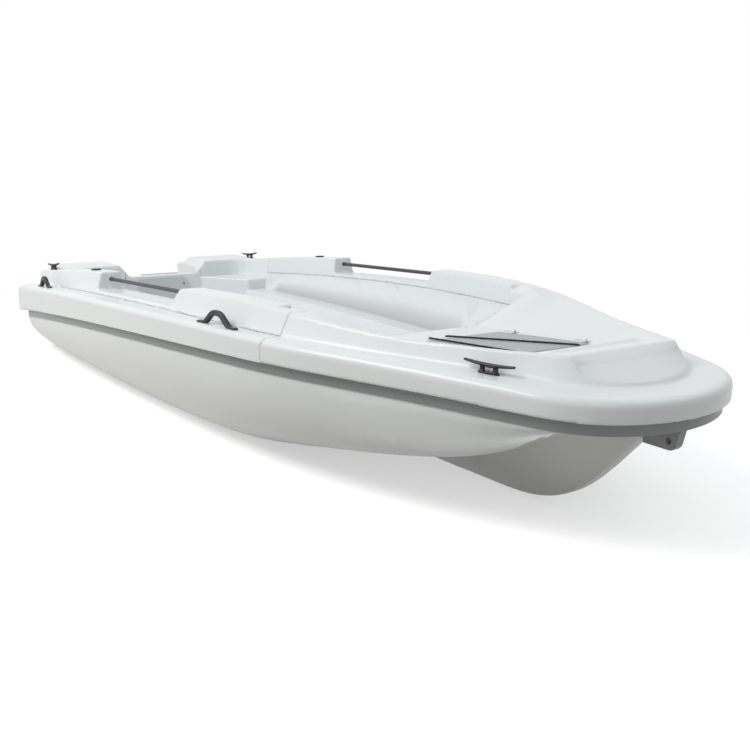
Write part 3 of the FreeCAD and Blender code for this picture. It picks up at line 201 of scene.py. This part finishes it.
# %% [markdown]
# Gelcoat is a layer of pigmented polyester resin sprayed into a polished mould.
# It comes out smooth and glossy, with a faint orange peel a few millimetres across
# and a slow change of tone where the laminate behind it is thicker or thinner. An
# even colour would look like paint on card, so both are in the nodes. The plastic
# sheet of the motor pads has the same two, finer and duller.

# %% Gelcoat and plastic sheet
def smooth_resin(name, colour, shade, roughness, peel_mm=6.0):
    """Two near colours mixed by slow noise, and fine noise in the bump of a glossy resin."""
    wave_mm, relief_mm = 350.0, 0.03
    material, tree = new_material(name)
    place = add(tree, "ShaderNodeTexCoord")
    slow = add(tree, "ShaderNodeTexNoise", {"Scale": 1000 / wave_mm, "Detail": 3.0},
               {"Vector": place.outputs["Object"]})
    mix = add(tree, "ShaderNodeMix", {"data_type": "RGBA", 6: linear(colour), 7: linear(shade)},
              {0: slow.outputs["Fac"]})
    peel = add(tree, "ShaderNodeTexNoise", {"Scale": 1000 / peel_mm, "Detail": 1.0},
               {"Vector": place.outputs["Object"]})
    bump = add(tree, "ShaderNodeBump", {"Strength": 0.25, "Distance": relief_mm / 1000},
               {"Height": peel.outputs["Fac"]})
    shader = add(tree, "ShaderNodeBsdfPrincipled", {"Roughness": roughness, "IOR": 1.5},
                 {"Base Color": mix.outputs[2], "Normal": bump.outputs[0]})
    add(tree, "ShaderNodeOutputMaterial", None, {"Surface": shader.outputs[0]})
    return material


# Sprayed into a polished mould: bright and glossy, with soft wide highlights.
white_gelcoat = smooth_resin("white polyester gelcoat", "#e6eaec", "#e0e5e7", 0.30)
# The same resin with a grey pigment, for the bands and the fin under the stem.
grey_gelcoat = smooth_resin("grey polyester gelcoat", "#8b8e91", "#838689", 0.35)
# The lid comes from a mould of its own, less polished: paler, with a duller highlight.
lid_gelcoat = smooth_resin("pale grey gelcoat", "#a3acaf", "#9ca5a9", 0.42)
# The pads are cut from rolled sheet: waxy and half matt, with a ripple of 2 mm.
pad_plastic = smooth_resin("grey polyethylene sheet", "#ccd3d2", "#c5cccb", 0.5, 2.0)
print("resins:", [m.name for m in (white_gelcoat, grey_gelcoat, lid_gelcoat, pad_plastic)])

# %% [markdown]
# The small fittings are moulded nylon, drawn tube, braided cord and steel. What they
# share is a fine even grain that breaks up the highlight. One function gives it, in
# the colour, in the roughness and in the bump. The real grains are 0.1 to 0.5 mm
# across, too fine to show from three metres, so they are drawn a few times coarser.

# %% Nylon, elastic, tube and steel
def grained(name, colour, shade, roughness, grain_mm, metallic=0.0):
    """A fine grain in the bump and in the roughness; plastic, or metal when metallic is 1."""
    relief_mm = 0.05
    material, tree = new_material(name)
    place = add(tree, "ShaderNodeTexCoord")
    grain = add(tree, "ShaderNodeTexNoise", {"Scale": 1000 / grain_mm, "Detail": 2.0},
                {"Vector": place.outputs["Object"]})
    mix = add(tree, "ShaderNodeMix", {"data_type": "RGBA", 6: linear(colour), 7: linear(shade)},
              {0: grain.outputs["Fac"]})
    rough = add(tree, "ShaderNodeMapRange",
                {"To Min": roughness - 0.06, "To Max": roughness + 0.08},
                {"Value": grain.outputs["Fac"]})
    bump = add(tree, "ShaderNodeBump", {"Strength": 0.4, "Distance": relief_mm / 1000},
               {"Height": grain.outputs["Fac"]})
    shader = add(tree, "ShaderNodeBsdfPrincipled", {"Metallic": metallic},
                 {"Base Color": mix.outputs[2], "Roughness": rough.outputs[0],
                  "Normal": bump.outputs[0]})
    add(tree, "ShaderNodeOutputMaterial", None, {"Surface": shader.outputs[0]})
    return material


# Nylon filled with glass, from a spark-eroded mould: nearly black, with a satin grain.
nylon = grained("black glass-filled nylon", "#1c1e20", "#141618", 0.40, 1.5)
# A plait of polyester yarn over rubber threads: black and dull, it hardly shines.
elastic = grained("black braided elastic", "#1a1b1c", "#0f1011", 0.75, 2.0)
# Unfilled nylon, moulded white for the hinges: smoother than the black.
white_nylon = grained("white moulded nylon", "#e4e8e9", "#dcdfe0", 0.38, 1.5)
# Drawn tube whose dyed oxide skin hides the metal, so it shines as a dark enamel does.
dark_tube = grained("dark anodised aluminium tube", "#3f4346", "#36393c", 0.36, 3.0)
# Screw and bolt heads, blasted with glass beads: a soft silver without sharp glints.
steel = grained("bead-blasted stainless steel", "#9a9d9f", "#8d9092", 0.32, 1.0, metallic=1.0)
print("materials in all:", len(bpy.data.materials))

# %% [markdown]
# The mouldings could be modelled afresh, but then they would drift from the solids.
# So each is a copy of its solid's mesh, finished with modifiers. A solid comes as
# loose triangles: they are merged, and flat areas are joined up to whole faces.

# %% Copies of the solids
mouldings = ["hull_shell", "cockpit_liner", "foredeck", "breakwater", "transom",
             "coaming_port", "coaming_starboard", "side_deck_port", "side_deck_starboard",
             "stern_quarter_port", "stern_quarter_starboard"]


def merged(name):
    """Copy of a node's triangles as one closed bmesh with flat areas joined up."""
    same_point, nearly_flat = 0.00002, math.radians(0.6)
    form = bmesh.new()
    form.from_mesh(nodes[name].data)
    bmesh.ops.remove_doubles(form, verts=form.verts, dist=same_point)
    bmesh.ops.dissolve_limit(form, angle_limit=nearly_flat, verts=form.verts, edges=form.edges)
    return form


def neighbours(name):
    """Search tree over the triangles of the other mouldings; foredeck and breakwater are one."""
    points, faces = [], []
    own = ["foredeck", "breakwater"] if name == "foredeck" else [name]
    for other in mouldings:
        if other not in own:
            mesh = nodes[other].data
            start = len(points)
            points += [tuple(v.co) for v in mesh.vertices]
            faces += [tuple(start + i for i in p.vertices) for p in mesh.polygons]
    return BVHTree.FromPolygons(points, faces)


def new_piece(name, mesh, material, body="boat", replaced=()):
    """Put a mesh into the scene as a piece that rides on a body."""
    piece = placed(name, mesh)
    mesh.materials.clear()
    mesh.materials.append(material)
    if replaced:
        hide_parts(*replaced)
    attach(piece, body)
    return piece


def with_modifiers(thing):
    """New mesh: an object's mesh as its modifiers leave it."""
    ready = thing.evaluated_get(bpy.context.evaluated_depsgraph_get())
    return bpy.data.meshes.new_from_object(ready)


def settle(piece):
    """Give a piece the mesh that its modifiers make, and drop the modifiers."""
    rough, mesh = piece.data, with_modifiers(piece)
    piece.modifiers.clear()
    piece.data = mesh
    bpy.data.meshes.remove(rough)
    mesh.name = piece.name
    return mesh


print("mouldings:", len(mouldings))

# %% [markdown]
# A mould has no sharp edges, because resin chips off them. Every outer edge that isn't
# a joint with the next moulding gets a small round, as wide as the faces beside it
# allow: a bevel that is wider than its face would fold over itself.

# %% Which edges are rounded
sharp_angle = math.radians(33)


def room_beside(edge):
    """Shortest edge that leaves either end sideways, and the width of the narrower face."""
    nearly_along = 0.85
    along = (edge.verts[1].co - edge.verts[0].co).normalized()
    room = min(face.calc_area() for face in edge.link_faces) / max(edge.calc_length(), 1e-6)
    for vert in edge.verts:
        for other in vert.link_edges:
            aside = other.other_vert(vert).co - vert.co
            if (other is not edge and aside.length > 0
                    and abs(aside.normalized().dot(along)) < nearly_along):
                room = min(room, aside.length)
    return room


def is_joint(edge, near):
    """True where at least two of three points on an edge lie within 1 mm of a neighbour."""
    touching = 0.001
    a, b = edge.verts[0].co, edge.verts[1].co
    gaps = [near.find_nearest(a.lerp(b, share))[3] for share in (0.2, 0.5, 0.8)]
    return sum(gap < touching for gap in gaps) >= 2


def rounded_edges(form, name, radius, least):
    """Bevel weight of every convex edge: the share of the radius that has room beside it."""
    share_of_room = 0.42
    near = neighbours(name) if name in mouldings else None
    weights = form.edges.layers.float.new("bevel_weight_edge")
    count = 0
    for edge in form.edges:
        if len(edge.link_faces) != 2 or edge.calc_face_angle_signed(0) < sharp_angle:
            continue
        if near is not None and is_joint(edge, near):
            continue
        share = min(1.0, share_of_room * room_beside(edge) / radius)
        if share * radius > least:
            edge[weights] = share
            count += 1
    return count


print("edges sharper than", round(math.degrees(sharp_angle)), "degrees are rounded")

# %% [markdown]
# The Bevel modifier makes the rounds. A point that it throws too far is put back on
# the solid's surface. Flat areas keep flat normals through a weighted-normal
# modifier, so that the light breaks on the round alone.

# %% Rounding
def softened(name, radius, material, body="boat", steps=3, least=0.0012):
    """Copy of a node whose outer edges, apart from joints, are rounded by a radius in metres.
    Rounds smaller than the least are left off."""
    too_far = 0.55 * radius
    form = merged(name)
    surface = BVHTree.FromBMesh(form)
    count = rounded_edges(form, name, radius, least)
    rough = bpy.data.meshes.new(name + "_rough")
    form.to_mesh(rough)
    form.free()
    piece = new_piece(name + "_soft", rough, material, body, [name])
    bevel = piece.modifiers.new("bevel", "BEVEL")
    bevel.width = radius
    bevel.segments = steps
    bevel.limit_method = "WEIGHT"
    bevel.use_clamp_overlap = False
    mesh = settle(piece)
    strays = 0
    for vert in mesh.vertices:
        spot, _, _, distance = surface.find_nearest(vert.co)
        if distance > too_far:
            vert.co = spot
            strays += 1
    mesh.shade_smooth()
    mesh.set_sharp_from_angle(angle=sharp_angle)
    weighted = piece.modifiers.new("weighted normals", "WEIGHTED_NORMAL")
    weighted.keep_sharp = True
    weighted.weight = 80
    print(name, "edges rounded:", count, "faces:", len(mesh.polygons), "strays put back:", strays)


# %% [markdown]
# Where rounds of many sizes meet, as on the coaming with its notches and collars, a
# bevel runs out of room. There the copy is rebuilt as an even net of small squares
# and relaxed a few times, which rounds every edge as a worn mould does. Beside a
# joint the points are put back on the exact surface, so that no gap opens.

# %% Relaxing
def relaxed(name, form, replaced):
    """Voxel remesh and smoothing of a closed form, in metres. A point that is nearer to a
    neighbour than the joint's width goes back to the form."""
    square, passes, joint_width = 0.0055, 5, 0.008
    near = neighbours(name)
    exact = BVHTree.FromBMesh(form)
    rough = bpy.data.meshes.new(name + "_rough")
    form.to_mesh(rough)
    form.free()
    piece = new_piece(name + "_soft", rough, white_gelcoat,
                      replaced=replaced)
    remesh = piece.modifiers.new("remesh", "REMESH")
    remesh.mode = "VOXEL"
    remesh.voxel_size = square
    relax = piece.modifiers.new("relax", "SMOOTH")
    relax.factor = 0.5
    relax.iterations = passes
    soft = settle(piece)
    for vert in soft.vertices:
        if near.find_nearest(vert.co, joint_width)[0] is not None:
            vert.co = exact.find_nearest(vert.co)[0]
    soft.shade_smooth()
    print(name, "relaxed, faces:", len(soft.polygons))


# %% [markdown]
# The coamings and stern quarters are relaxed. The plainer mouldings, the bands, the
# lid and the pads get bevels of the radius that each has on a real boat: 5 or 6 mm
# where hands and feet go, 3 or 4 mm on plates and the fin, 1 mm on the edge of a band.

# %% Soften the mouldings
for side in sides:
    for name in ("coaming_" + side, "stern_quarter_" + side):
        relaxed(name, merged(name), [name])
    softened("side_deck_" + side, 0.004, white_gelcoat)
    softened("rub_band_" + side, 0.001, grey_gelcoat, least=0.0003)
softened("transom", 0.006, white_gelcoat)
softened("cockpit_liner", 0.005, white_gelcoat, least=0.0035)
softened("hull_shell", 0.006, white_gelcoat)
softened("towing_eye", 0.004, grey_gelcoat)
softened("hatch_lid", 0.004, lid_gelcoat, "hatch")
softened("motor_pad_inner", 0.003, pad_plastic)
softened("motor_pad_outer", 0.003, pad_plastic)

# %% [markdown]
# The foredeck and its breakwater are one moulding, a bowl that falls from a crest all
# round to the hatch. A boolean joins copies of the two solids. Inside the crest the
# points are let down onto straight slopes from the crest to the floor of the well,
# because the real deck has no flat shoulder there.

# %% Foredeck and breakwater in one
def joined_solids(names):
    """Union of copies of two nodes as one closed bmesh."""
    copies = []
    for name in names:
        form = merged(name)
        mesh = bpy.data.meshes.new(name + "_copy")
        form.to_mesh(mesh)
        form.free()
        copies.append(placed(name + "_copy", mesh))
    union = copies[0].modifiers.new("union", "BOOLEAN")
    union.operation = "UNION"
    union.solver = "EXACT"
    union.object = copies[1]
    both = with_modifiers(copies[0])
    whole = bmesh.new()
    whole.from_mesh(both)
    for mesh in (copies[0].data, copies[1].data, both):
        bpy.data.meshes.remove(mesh)
    bmesh.ops.remove_doubles(whole, verts=whole.verts, dist=0.000001)
    return whole


bow = joined_solids(["foredeck", "breakwater"])
print("bow joined, faces:", len(bow.faces))

# %% [markdown]
# The slopes are a height over the plan. Its crest and the edge of its floor are read
# at six stations along the boat and joined up between them. Near the cockpit the
# change fades in, so that the deck still meets the liner.

# %% Slopes of the well
well_aft, well_fore, fade_in, crest_inset = 0.775, 1.63, 0.16, 0.004
stations = (0.80, 1.00, 1.20, 1.40, 1.55, 1.63)
crest_breadths = (0.578, 0.525, 0.446, 0.353, 0.282, 0.228)
crest_heights = (0.561, 0.549, 0.539, 0.542, 0.546, 0.548)
floor_breadths = (0.224, 0.218, 0.208, 0.198, 0.190, 0.180)


def well_height(x):
    """Floor of the well: a ramp that climbs to the bow, steeper ahead of the hatch."""
    aft_x, aft_z, aft_slope = 0.95, 0.462, 0.0787
    bend_x, bend_z, fore_slope = 1.408, 0.498, 0.224
    return np.where(x < bend_x, aft_z + (x - aft_x) * aft_slope,
                    bend_z + (x - bend_x) * fore_slope)


def bowl(points):
    """Heights after letting down: along the breadth a slope from the crest to the floor,
    z = floor + (crest - floor) (1 - t) ** 1.1 with t = 0 at the crest and 1 at the floor's
    edge, weighed by a smooth step along the boat."""
    hollow, clear_of_floor = 1.1, 0.0003
    x, y, z = points.T
    crest_y = np.interp(x, stations, crest_breadths) - crest_inset
    crest_z = np.interp(x, stations, crest_heights)
    floor_y = np.interp(x, stations, floor_breadths)
    floor_z = well_height(x)
    t = np.clip((crest_y - np.abs(y)) / (crest_y - floor_y), 0, 1)
    slope = floor_z + (crest_z - floor_z) * (1 - t) ** hollow
    share = np.clip((x - well_aft) / fade_in, 0, 1)
    share = share * share * (3 - 2 * share)
    inside = ((x > well_aft) & (x < well_fore) & (z > floor_z + clear_of_floor)
              & (np.abs(y) > floor_y) & (np.abs(y) < crest_y))
    return np.where(inside, z + share * (np.minimum(z, slope) - z), z)


print("floor of the well climbs from", float(well_height(0.95)), "to",
      round(float(well_height(well_fore)), 3), "m")

# %% [markdown]
# Big flat faces can't follow a slope, so the bow is cut along the boat and across it
# into a grid of 30 by 22 mm before its points move. Then it is relaxed as the
# coamings are, and one piece stands for both solids.

# %% Let the slopes down
along_x, along_y = np.arange(0.79, 1.64, 0.03), np.arange(0.19, 0.58, 0.022)
cuts = [((x, 0, 0), (1, 0, 0)) for x in along_x]
cuts += [((0, hand * y, 0), (0, 1, 0)) for hand in (-1, 1) for y in along_y]
for place_on, facing in cuts:
    bmesh.ops.bisect_plane(bow, geom=bow.verts[:] + bow.edges[:] + bow.faces[:], dist=0.00001,
                           plane_co=place_on, plane_no=facing)
for vert, height in zip(bow.verts, bowl(np.array([v.co[:] for v in bow.verts]))):
    vert.co.z = height
relaxed("foredeck", bow, ["foredeck", "breakwater"])

# %% [markdown]
# Fittings are moulded or turned shapes, so each is a surface over two parameters: a
# section carried along a line, or a profile turned round an axis. Both are worked
# out as whole grids, in millimetres, in the fitting's own directions.

# %% Surfaces from grids
def crowded(half, count):
    """Stations from -half to half, x = half sin(a), which crowd towards both ends."""
    return half * np.sin(np.linspace(-np.pi / 2, np.pi / 2, count))


def rounded_tip(x, half, radius):
    """Share of the width: a quarter circle over the last radius of the length, else 1."""
    past = np.clip(np.abs(x) - (half - radius), 0, None) / radius
    return np.sqrt(np.clip(1 - past ** 2, 0.0004, 1))


def carried(path, half_width, half_height, power=2.0, columns=28):
    """Section carried along x: y = w(s) c(a), z = path(s) + h(s) s(a), where c and s are the
    cosine and sine with their size raised to 2 / power, which squares the ellipse up."""
    turn = np.linspace(0, 2 * np.pi, columns, endpoint=False)
    c, s = (np.sign(f(turn)) * np.abs(f(turn)) ** (2 / power) for f in (np.cos, np.sin))
    return np.stack([np.broadcast_to(path[:, :1], (len(path), columns)), half_width[:, None] * c,
                     path[:, 1:] + half_height[:, None] * s], axis=-1)


def turned(profile, middle=(0, 0, 0), stretch=1.0, columns=32):
    """Profile of (radius, height) turned round z; stretch draws the circle out along x."""
    turn = np.linspace(0, 2 * np.pi, columns, endpoint=False)
    radius, height = np.array(profile, float).T
    return np.stack([radius[:, None] * np.cos(turn) * stretch, radius[:, None] * np.sin(turn),
                     np.broadcast_to(height[:, None], (len(radius), columns))],
                    axis=-1) + np.array(middle)


def skin(grid, ring=False):
    """Faces over a grid whose columns run round. The end rows are closed by fans to their
    middle, or joined to each other when the rows run round too. Gives points and faces."""
    rows, columns = grid.shape[:2]
    points = grid.reshape(-1, 3)
    i, j = np.meshgrid(np.arange(rows if ring else rows - 1), np.arange(columns), indexing="ij")
    below, right = (i + 1) % rows, (j + 1) % columns
    faces = np.stack([i * columns + j, i * columns + right, below * columns + right,
                      below * columns + j], axis=-1).reshape(-1, 4).tolist()
    if not ring:
        for row, middle in ((0, len(points)), (rows - 1, len(points) + 1)):
            start = row * columns
            faces += [(middle, start + c, start + (c + 1) % columns) for c in range(columns)]
        points = np.vstack([points, grid[0].mean(0), grid[-1].mean(0)])
    return points, faces


def assembled(name, shells):
    """One mesh out of several closed shells, with every face turned outwards."""
    points, faces, start = [], [], 0
    for shell_points, shell_faces in shells:
        points.append(shell_points)
        faces += [tuple(start + k for k in face) for face in shell_faces]
        start += len(shell_points)
    mesh = bpy.data.meshes.new(name)
    mesh.from_pydata(np.vstack(points).tolist(), [], faces)
    form = bmesh.new()
    form.from_mesh(mesh)
    bmesh.ops.remove_doubles(form, verts=form.verts, dist=0.000001)
    bmesh.ops.recalc_face_normals(form, faces=form.faces)
    form.to_mesh(mesh)
    form.free()
    mesh.shade_smooth()
    mesh.set_sharp_from_angle(angle=math.radians(50))
    return mesh


print("a turned disc of 32 columns has", len(skin(turned([(5, 0), (5, 1)]))[1]), "faces")

# %% [markdown]
# A fitting is then laid on the solid that it replaces. The solid's directions come
# from the second moments of its volume, which are exact however the fitting is
# turned on the boat. Each is screwed down by raised heads of steel.

# %% Places and fastenings
def seat_of(name, up_hint=(0, 0, 1), long_hint=(1, 0, 0)):
    """Seat and directions of a node: eigenvectors of its volume's second moments, with the
    seat under its centre at its lowest point. Gives the seat and rows long, across, up."""
    mesh = nodes[name].data
    mesh.calc_loop_triangles()
    points = np.array([v.co[:] for v in mesh.vertices])
    corners = points[np.array([t.vertices[:] for t in mesh.loop_triangles])] - points.mean(0)
    volume = np.einsum("ij,ij->i", corners[:, 0], np.cross(corners[:, 1], corners[:, 2])) / 6
    total = corners.sum(1)
    centre = (volume[:, None] * total / 4).sum(0) / volume.sum()
    second = (np.einsum("t,tci,tcj->ij", volume, corners, corners)
              + np.einsum("t,ti,tj->ij", volume, total, total)) / 20 / volume.sum()
    axes = np.linalg.eigh(second - np.outer(centre, centre))[1].T
    up, long = (max(axes, key=lambda axis: abs(axis @ np.array(hint, float)))
                for hint in (up_hint, long_hint))
    up = up * np.sign(up @ np.array(up_hint, float))
    long = long * np.sign(long @ np.array(long_hint, float))
    centre = centre + points.mean(0)
    lowest = ((points - centre) @ up).min()
    return centre + up * lowest, np.array([long, np.cross(up, long), up])


def fitting(name, shells, material, seat, suffix="_moulded", replaced=True):
    """Lay shells, drawn in millimetres at the seat, onto the boat as a piece."""
    origin, axes = seat
    laid = [(points / 1000 @ axes + origin, faces) for points, faces in shells]
    mesh = assembled(name + suffix, laid)
    new_piece(name + suffix, mesh, material, replaced=[name] if replaced else ())


def screw_heads(reach, height):
    """Two raised screw heads, each with a dimple for the driver, at x = -reach and reach."""
    radius = 4.5
    profile = [(radius, -1), (radius, 0.6), (0.85 * radius, 1.5), (0.5 * radius, 2.1),
               (0.3 * radius, 2.1), (0.22 * radius, 1.0)]
    return [skin(turned(profile, (x, 0, height), columns=20)) for x in (-reach, reach)]


print("port bow cleat seated at", np.round(seat_of("bow_cleat_port")[0], 3).tolist())

# %% [markdown]
# A horn cleat is one moulding: a foot plate, two flared legs and a bar whose horns
# rise and thin to the tips. The legs are drawn as stretched turned profiles that grow
# into the foot and the bar, which gives the soft waist of the real one.

# %% Cleats
def cleat_shells():
    """Bar along x with z = height + rise |x / half| ** 1.5, two flared legs whose radius is the
    waist and an exponential flare at either end, and a stretched foot, in millimetres."""
    half, height, rise, leg_reach = 82.5, 23.7, 6.8, 21
    x = crowded(half, 61)
    out = np.abs(x) / half
    tip = rounded_tip(x, half, 4)
    bar = carried(np.stack([x, height + rise * out ** 1.5], axis=-1), (8.5 - 3.6 * out) * tip,
                  (6.3 - 2.8 * out) * tip, 2.3)
    z = np.linspace(3, 24, 16)
    waist = 6.2 + 4.5 * np.exp(-(z - 4) / 3.2) + 3.2 * np.exp(-(22 - z) / 3.0)
    legs = [turned(np.stack([waist, z], axis=-1), (place, 0, 0), 1.15)
            for place in (-leg_reach, leg_reach)]
    foot = turned([(12.6, 0), (13, 1), (13, 4), (12.3, 5.4), (10.8, 6)], stretch=33 / 13,
                  columns=48)
    return [skin(grid) for grid in (bar, *legs, foot)]


for name in ("bow_cleat", "stern_cleat"):
    for side in sides:
        seat = seat_of(name + "_" + side)
        fitting(name + "_" + side, cleat_shells(), nylon, seat)
        fitting(name + "_" + side, screw_heads(7, 5.6), steel, seat,
                "_screws", False)
print("cleats laid on their seats")

# %% [markdown]
# The lifting handles are arches of nylon between two flat tongues. Top and underside
# are both bell curves, the upper one wider, so the arch is thickest where it leaves
# the feet. Fine ribs across the grip keep a wet hand from slipping.

# %% Grab handles
def handle_shells():
    """Arch over x in millimetres: the top is the foot and top rise times cos^2 out to the top
    reach, the underside is its rise times cos^2 out to its reach, each with x / reach raised
    to 1.4 inside the cosine, which broadens the crown."""
    half, foot, rib_pitch, crown = 120, 7, 7.5, 1.4
    top_rise, top_reach, under_rise, under_reach = 46, 88, 33, 64
    x = crowded(half, 141)
    bell = np.cos(np.pi / 2 * np.clip(np.abs(x) / top_reach, 0, 1) ** crown) ** 2
    under = under_rise * np.cos(np.pi / 2 * np.clip(np.abs(x) / under_reach, 0, 1) ** crown) ** 2
    tip = rounded_tip(x, half, 13)
    ribs = 1 + 0.035 * np.clip(bell - 0.35, 0, 1) * np.cos(2 * np.pi * x / rib_pitch)
    half_height = (foot * tip + top_rise * bell - under) / 2
    half_width = (11 - 1.2 * bell) * tip * ribs
    return [skin(carried(np.stack([x, under + half_height], axis=-1), half_width,
                         half_height * ribs, 2.5))]


for name in ("grab_handle_aft", "grab_handle_mid"):
    for side in sides:
        seat = seat_of(name + "_" + side)
        fitting(name + "_" + side, handle_shells(), nylon, seat)
        fitting(name + "_" + side, screw_heads(103, 6.3), steel, seat,
                "_screws", False)
print("handles laid on their seats")

# %% [markdown]
# Rowlock sockets are turned sleeves with a rounded flange and an open bore. The drain
# bung is a turned plug with a grip bar across it.

# %% Rowlock sockets and drain bung
sleeve = turned([(6.5, 2), (13.6, 2), (14.6, 4), (14.6, 59), (19, 60), (22.4, 61), (23, 63),
                 (22.2, 65.4), (18, 66.4), (12, 66.9), (10.5, 66.6), (9, 65.2), (6.5, 64)],
                columns=40)
for side in sides:
    name = "rowlock_socket_" + side
    fitting(name, [skin(sleeve, ring=True)], nylon, seat_of(name))
plug = turned([(13, 0), (16.6, 1), (17, 3), (16.6, 6.5), (14.5, 7.6), (11, 7.6), (10, 6.4)],
              columns=40)
blunt = np.sqrt(1.0 - (np.linspace(-1, 1, 9) * 0.97) ** 6)
grip = carried(np.stack([np.linspace(-10.5, 10.5, 9), np.full(9, 7.8)], axis=-1),
               2.6 * blunt, 3.8 * blunt, 3.0)
bung_seat = seat_of("drain_bung", (-1, 0, 0), (0, 0, 1))
fitting("drain_bung", [skin(plug), skin(grip)], nylon, bung_seat)
print("sockets and bung turned")

# %% [markdown]
# Two strands of braided elastic hold the hatch down. Each is drawn as a tube along the
# solid's axis, with its ends turned down into small eyes that are screwed to the deck.
# The braid is a faint wave of the thickness every 5 mm.

# %% Hatch cords
radius, turn_down, drop, braid_pitch = 3, 12, 3.4, 5
for side, half in (("port", 249.0), ("starboard", 236.0)):
    name = "hatch_cord_" + side
    seat = seat_of(name)
    x = crowded(half, 161)
    dip = np.clip((np.abs(x) - half + turn_down) / turn_down, 0, 1) ** 2
    thick = radius - 0.6 * dip + 0.12 * np.cos(2 * np.pi * x / braid_pitch)
    cord = carried(np.stack([x, radius - drop * dip], axis=-1), thick, thick, columns=20)
    fitting(name, [skin(cord)], elastic, seat)
    eyes = [skin(turned([(6.5, -3.2), (6.6, -1.0), (5.8, 1.6), (4.2, 3.4), (2.2, 3.9)],
                        (end, 0, 0), columns=24)) for end in (5 - half, half - 5)]
    fitting(name, eyes, nylon, seat, "_eyes", False)
print("cords and their eyes laid")

# %% [markdown]
# The grey band runs on round the stem ahead of the towing eye. The missing length is a
# strip between the two ends of the bands, with the section that they have there.

# %% Band round the stem
rows, half_gap, depth, crown, proud = 13, 0.017, 0.004, 0.0005, 0.0002
ends = np.array([v.co[:] for v in nodes["rub_band_port"].data.vertices])
ends = ends[ends[:, 1] < ends[:, 1].min() + 0.0005]
front, low, high = ends[:, 0].max(), ends[:, 2].min(), ends[:, 2].max()
across = np.linspace(-1, 1, rows)[:, None]
corner_x = np.array([0, 0, depth, depth])
corner_z = np.array([high, low, low, high])
strip = np.stack([front - across ** 2 * crown - corner_x + proud,
                  np.broadcast_to(across * half_gap, (rows, 4)),
                  np.broadcast_to(corner_z, (rows, 4))], axis=-1)
new_piece("stem_band", assembled("stem_band", [skin(strip)]), grey_gelcoat)
print("stem band from z", round(float(low), 3), "to", round(float(high), 3))

# %% [markdown]
# Four round-headed bolts hold each motor pad against the transom. Each head is a turned
# dome, laid on the pad's outer face.

# %% Bolts of the motor pads
dome = turned([(7, -1), (7, 0.8), (6.2, 2.2), (3.5, 3.2), (1.2, 3.3)], columns=24)
points, faces = skin(dome)
spots = [(y, z) for y in (-0.11, 0.11) for z in (-0.038, 0.045)]
for name, facing in (("motor_pad_inner", 1), ("motor_pad_outer", -1)):
    _, axes = seat_of(name, (facing, 0, 0), (0, 1, 0))
    low, high = (np.array(corner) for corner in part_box(name))
    middle = (low + high) / 2
    face = high[0] if facing > 0 else low[0]
    shells = [(points / 1000 @ axes + np.array((face, middle[1] + y, middle[2] + z)), faces)
              for y, z in spots]
    new_piece(name + "_bolts", assembled(name + "_bolts", shells), steel)
print("bolts in place")

# %% [markdown]
# The hinges are small white mouldings with edges rounded by less than a millimetre.
# The bases stay on the deck with their pins, and the leaves turn with the lid.

# %% Hinges
for end in ("aft", "fore"):
    for part, body in (("base", "boat"), ("leaf", "hatch")):
        softened("hinge_" + part + "_" + end, 0.0007, white_nylon, body,
                 steps=2, least=0.0002)

# %% [markdown]
# The handrails are plain drawn tubes. The solids already have their exact shape, so
# they keep their own meshes and only get the finish. All other nodes are replaced.

# %% Finish of the handrails
for side in sides:
    tube = nodes["handrail_" + side].data
    tube.materials.clear()
    tube.materials.append(dark_tube)
print("handrails finished:", dark_tube.name)
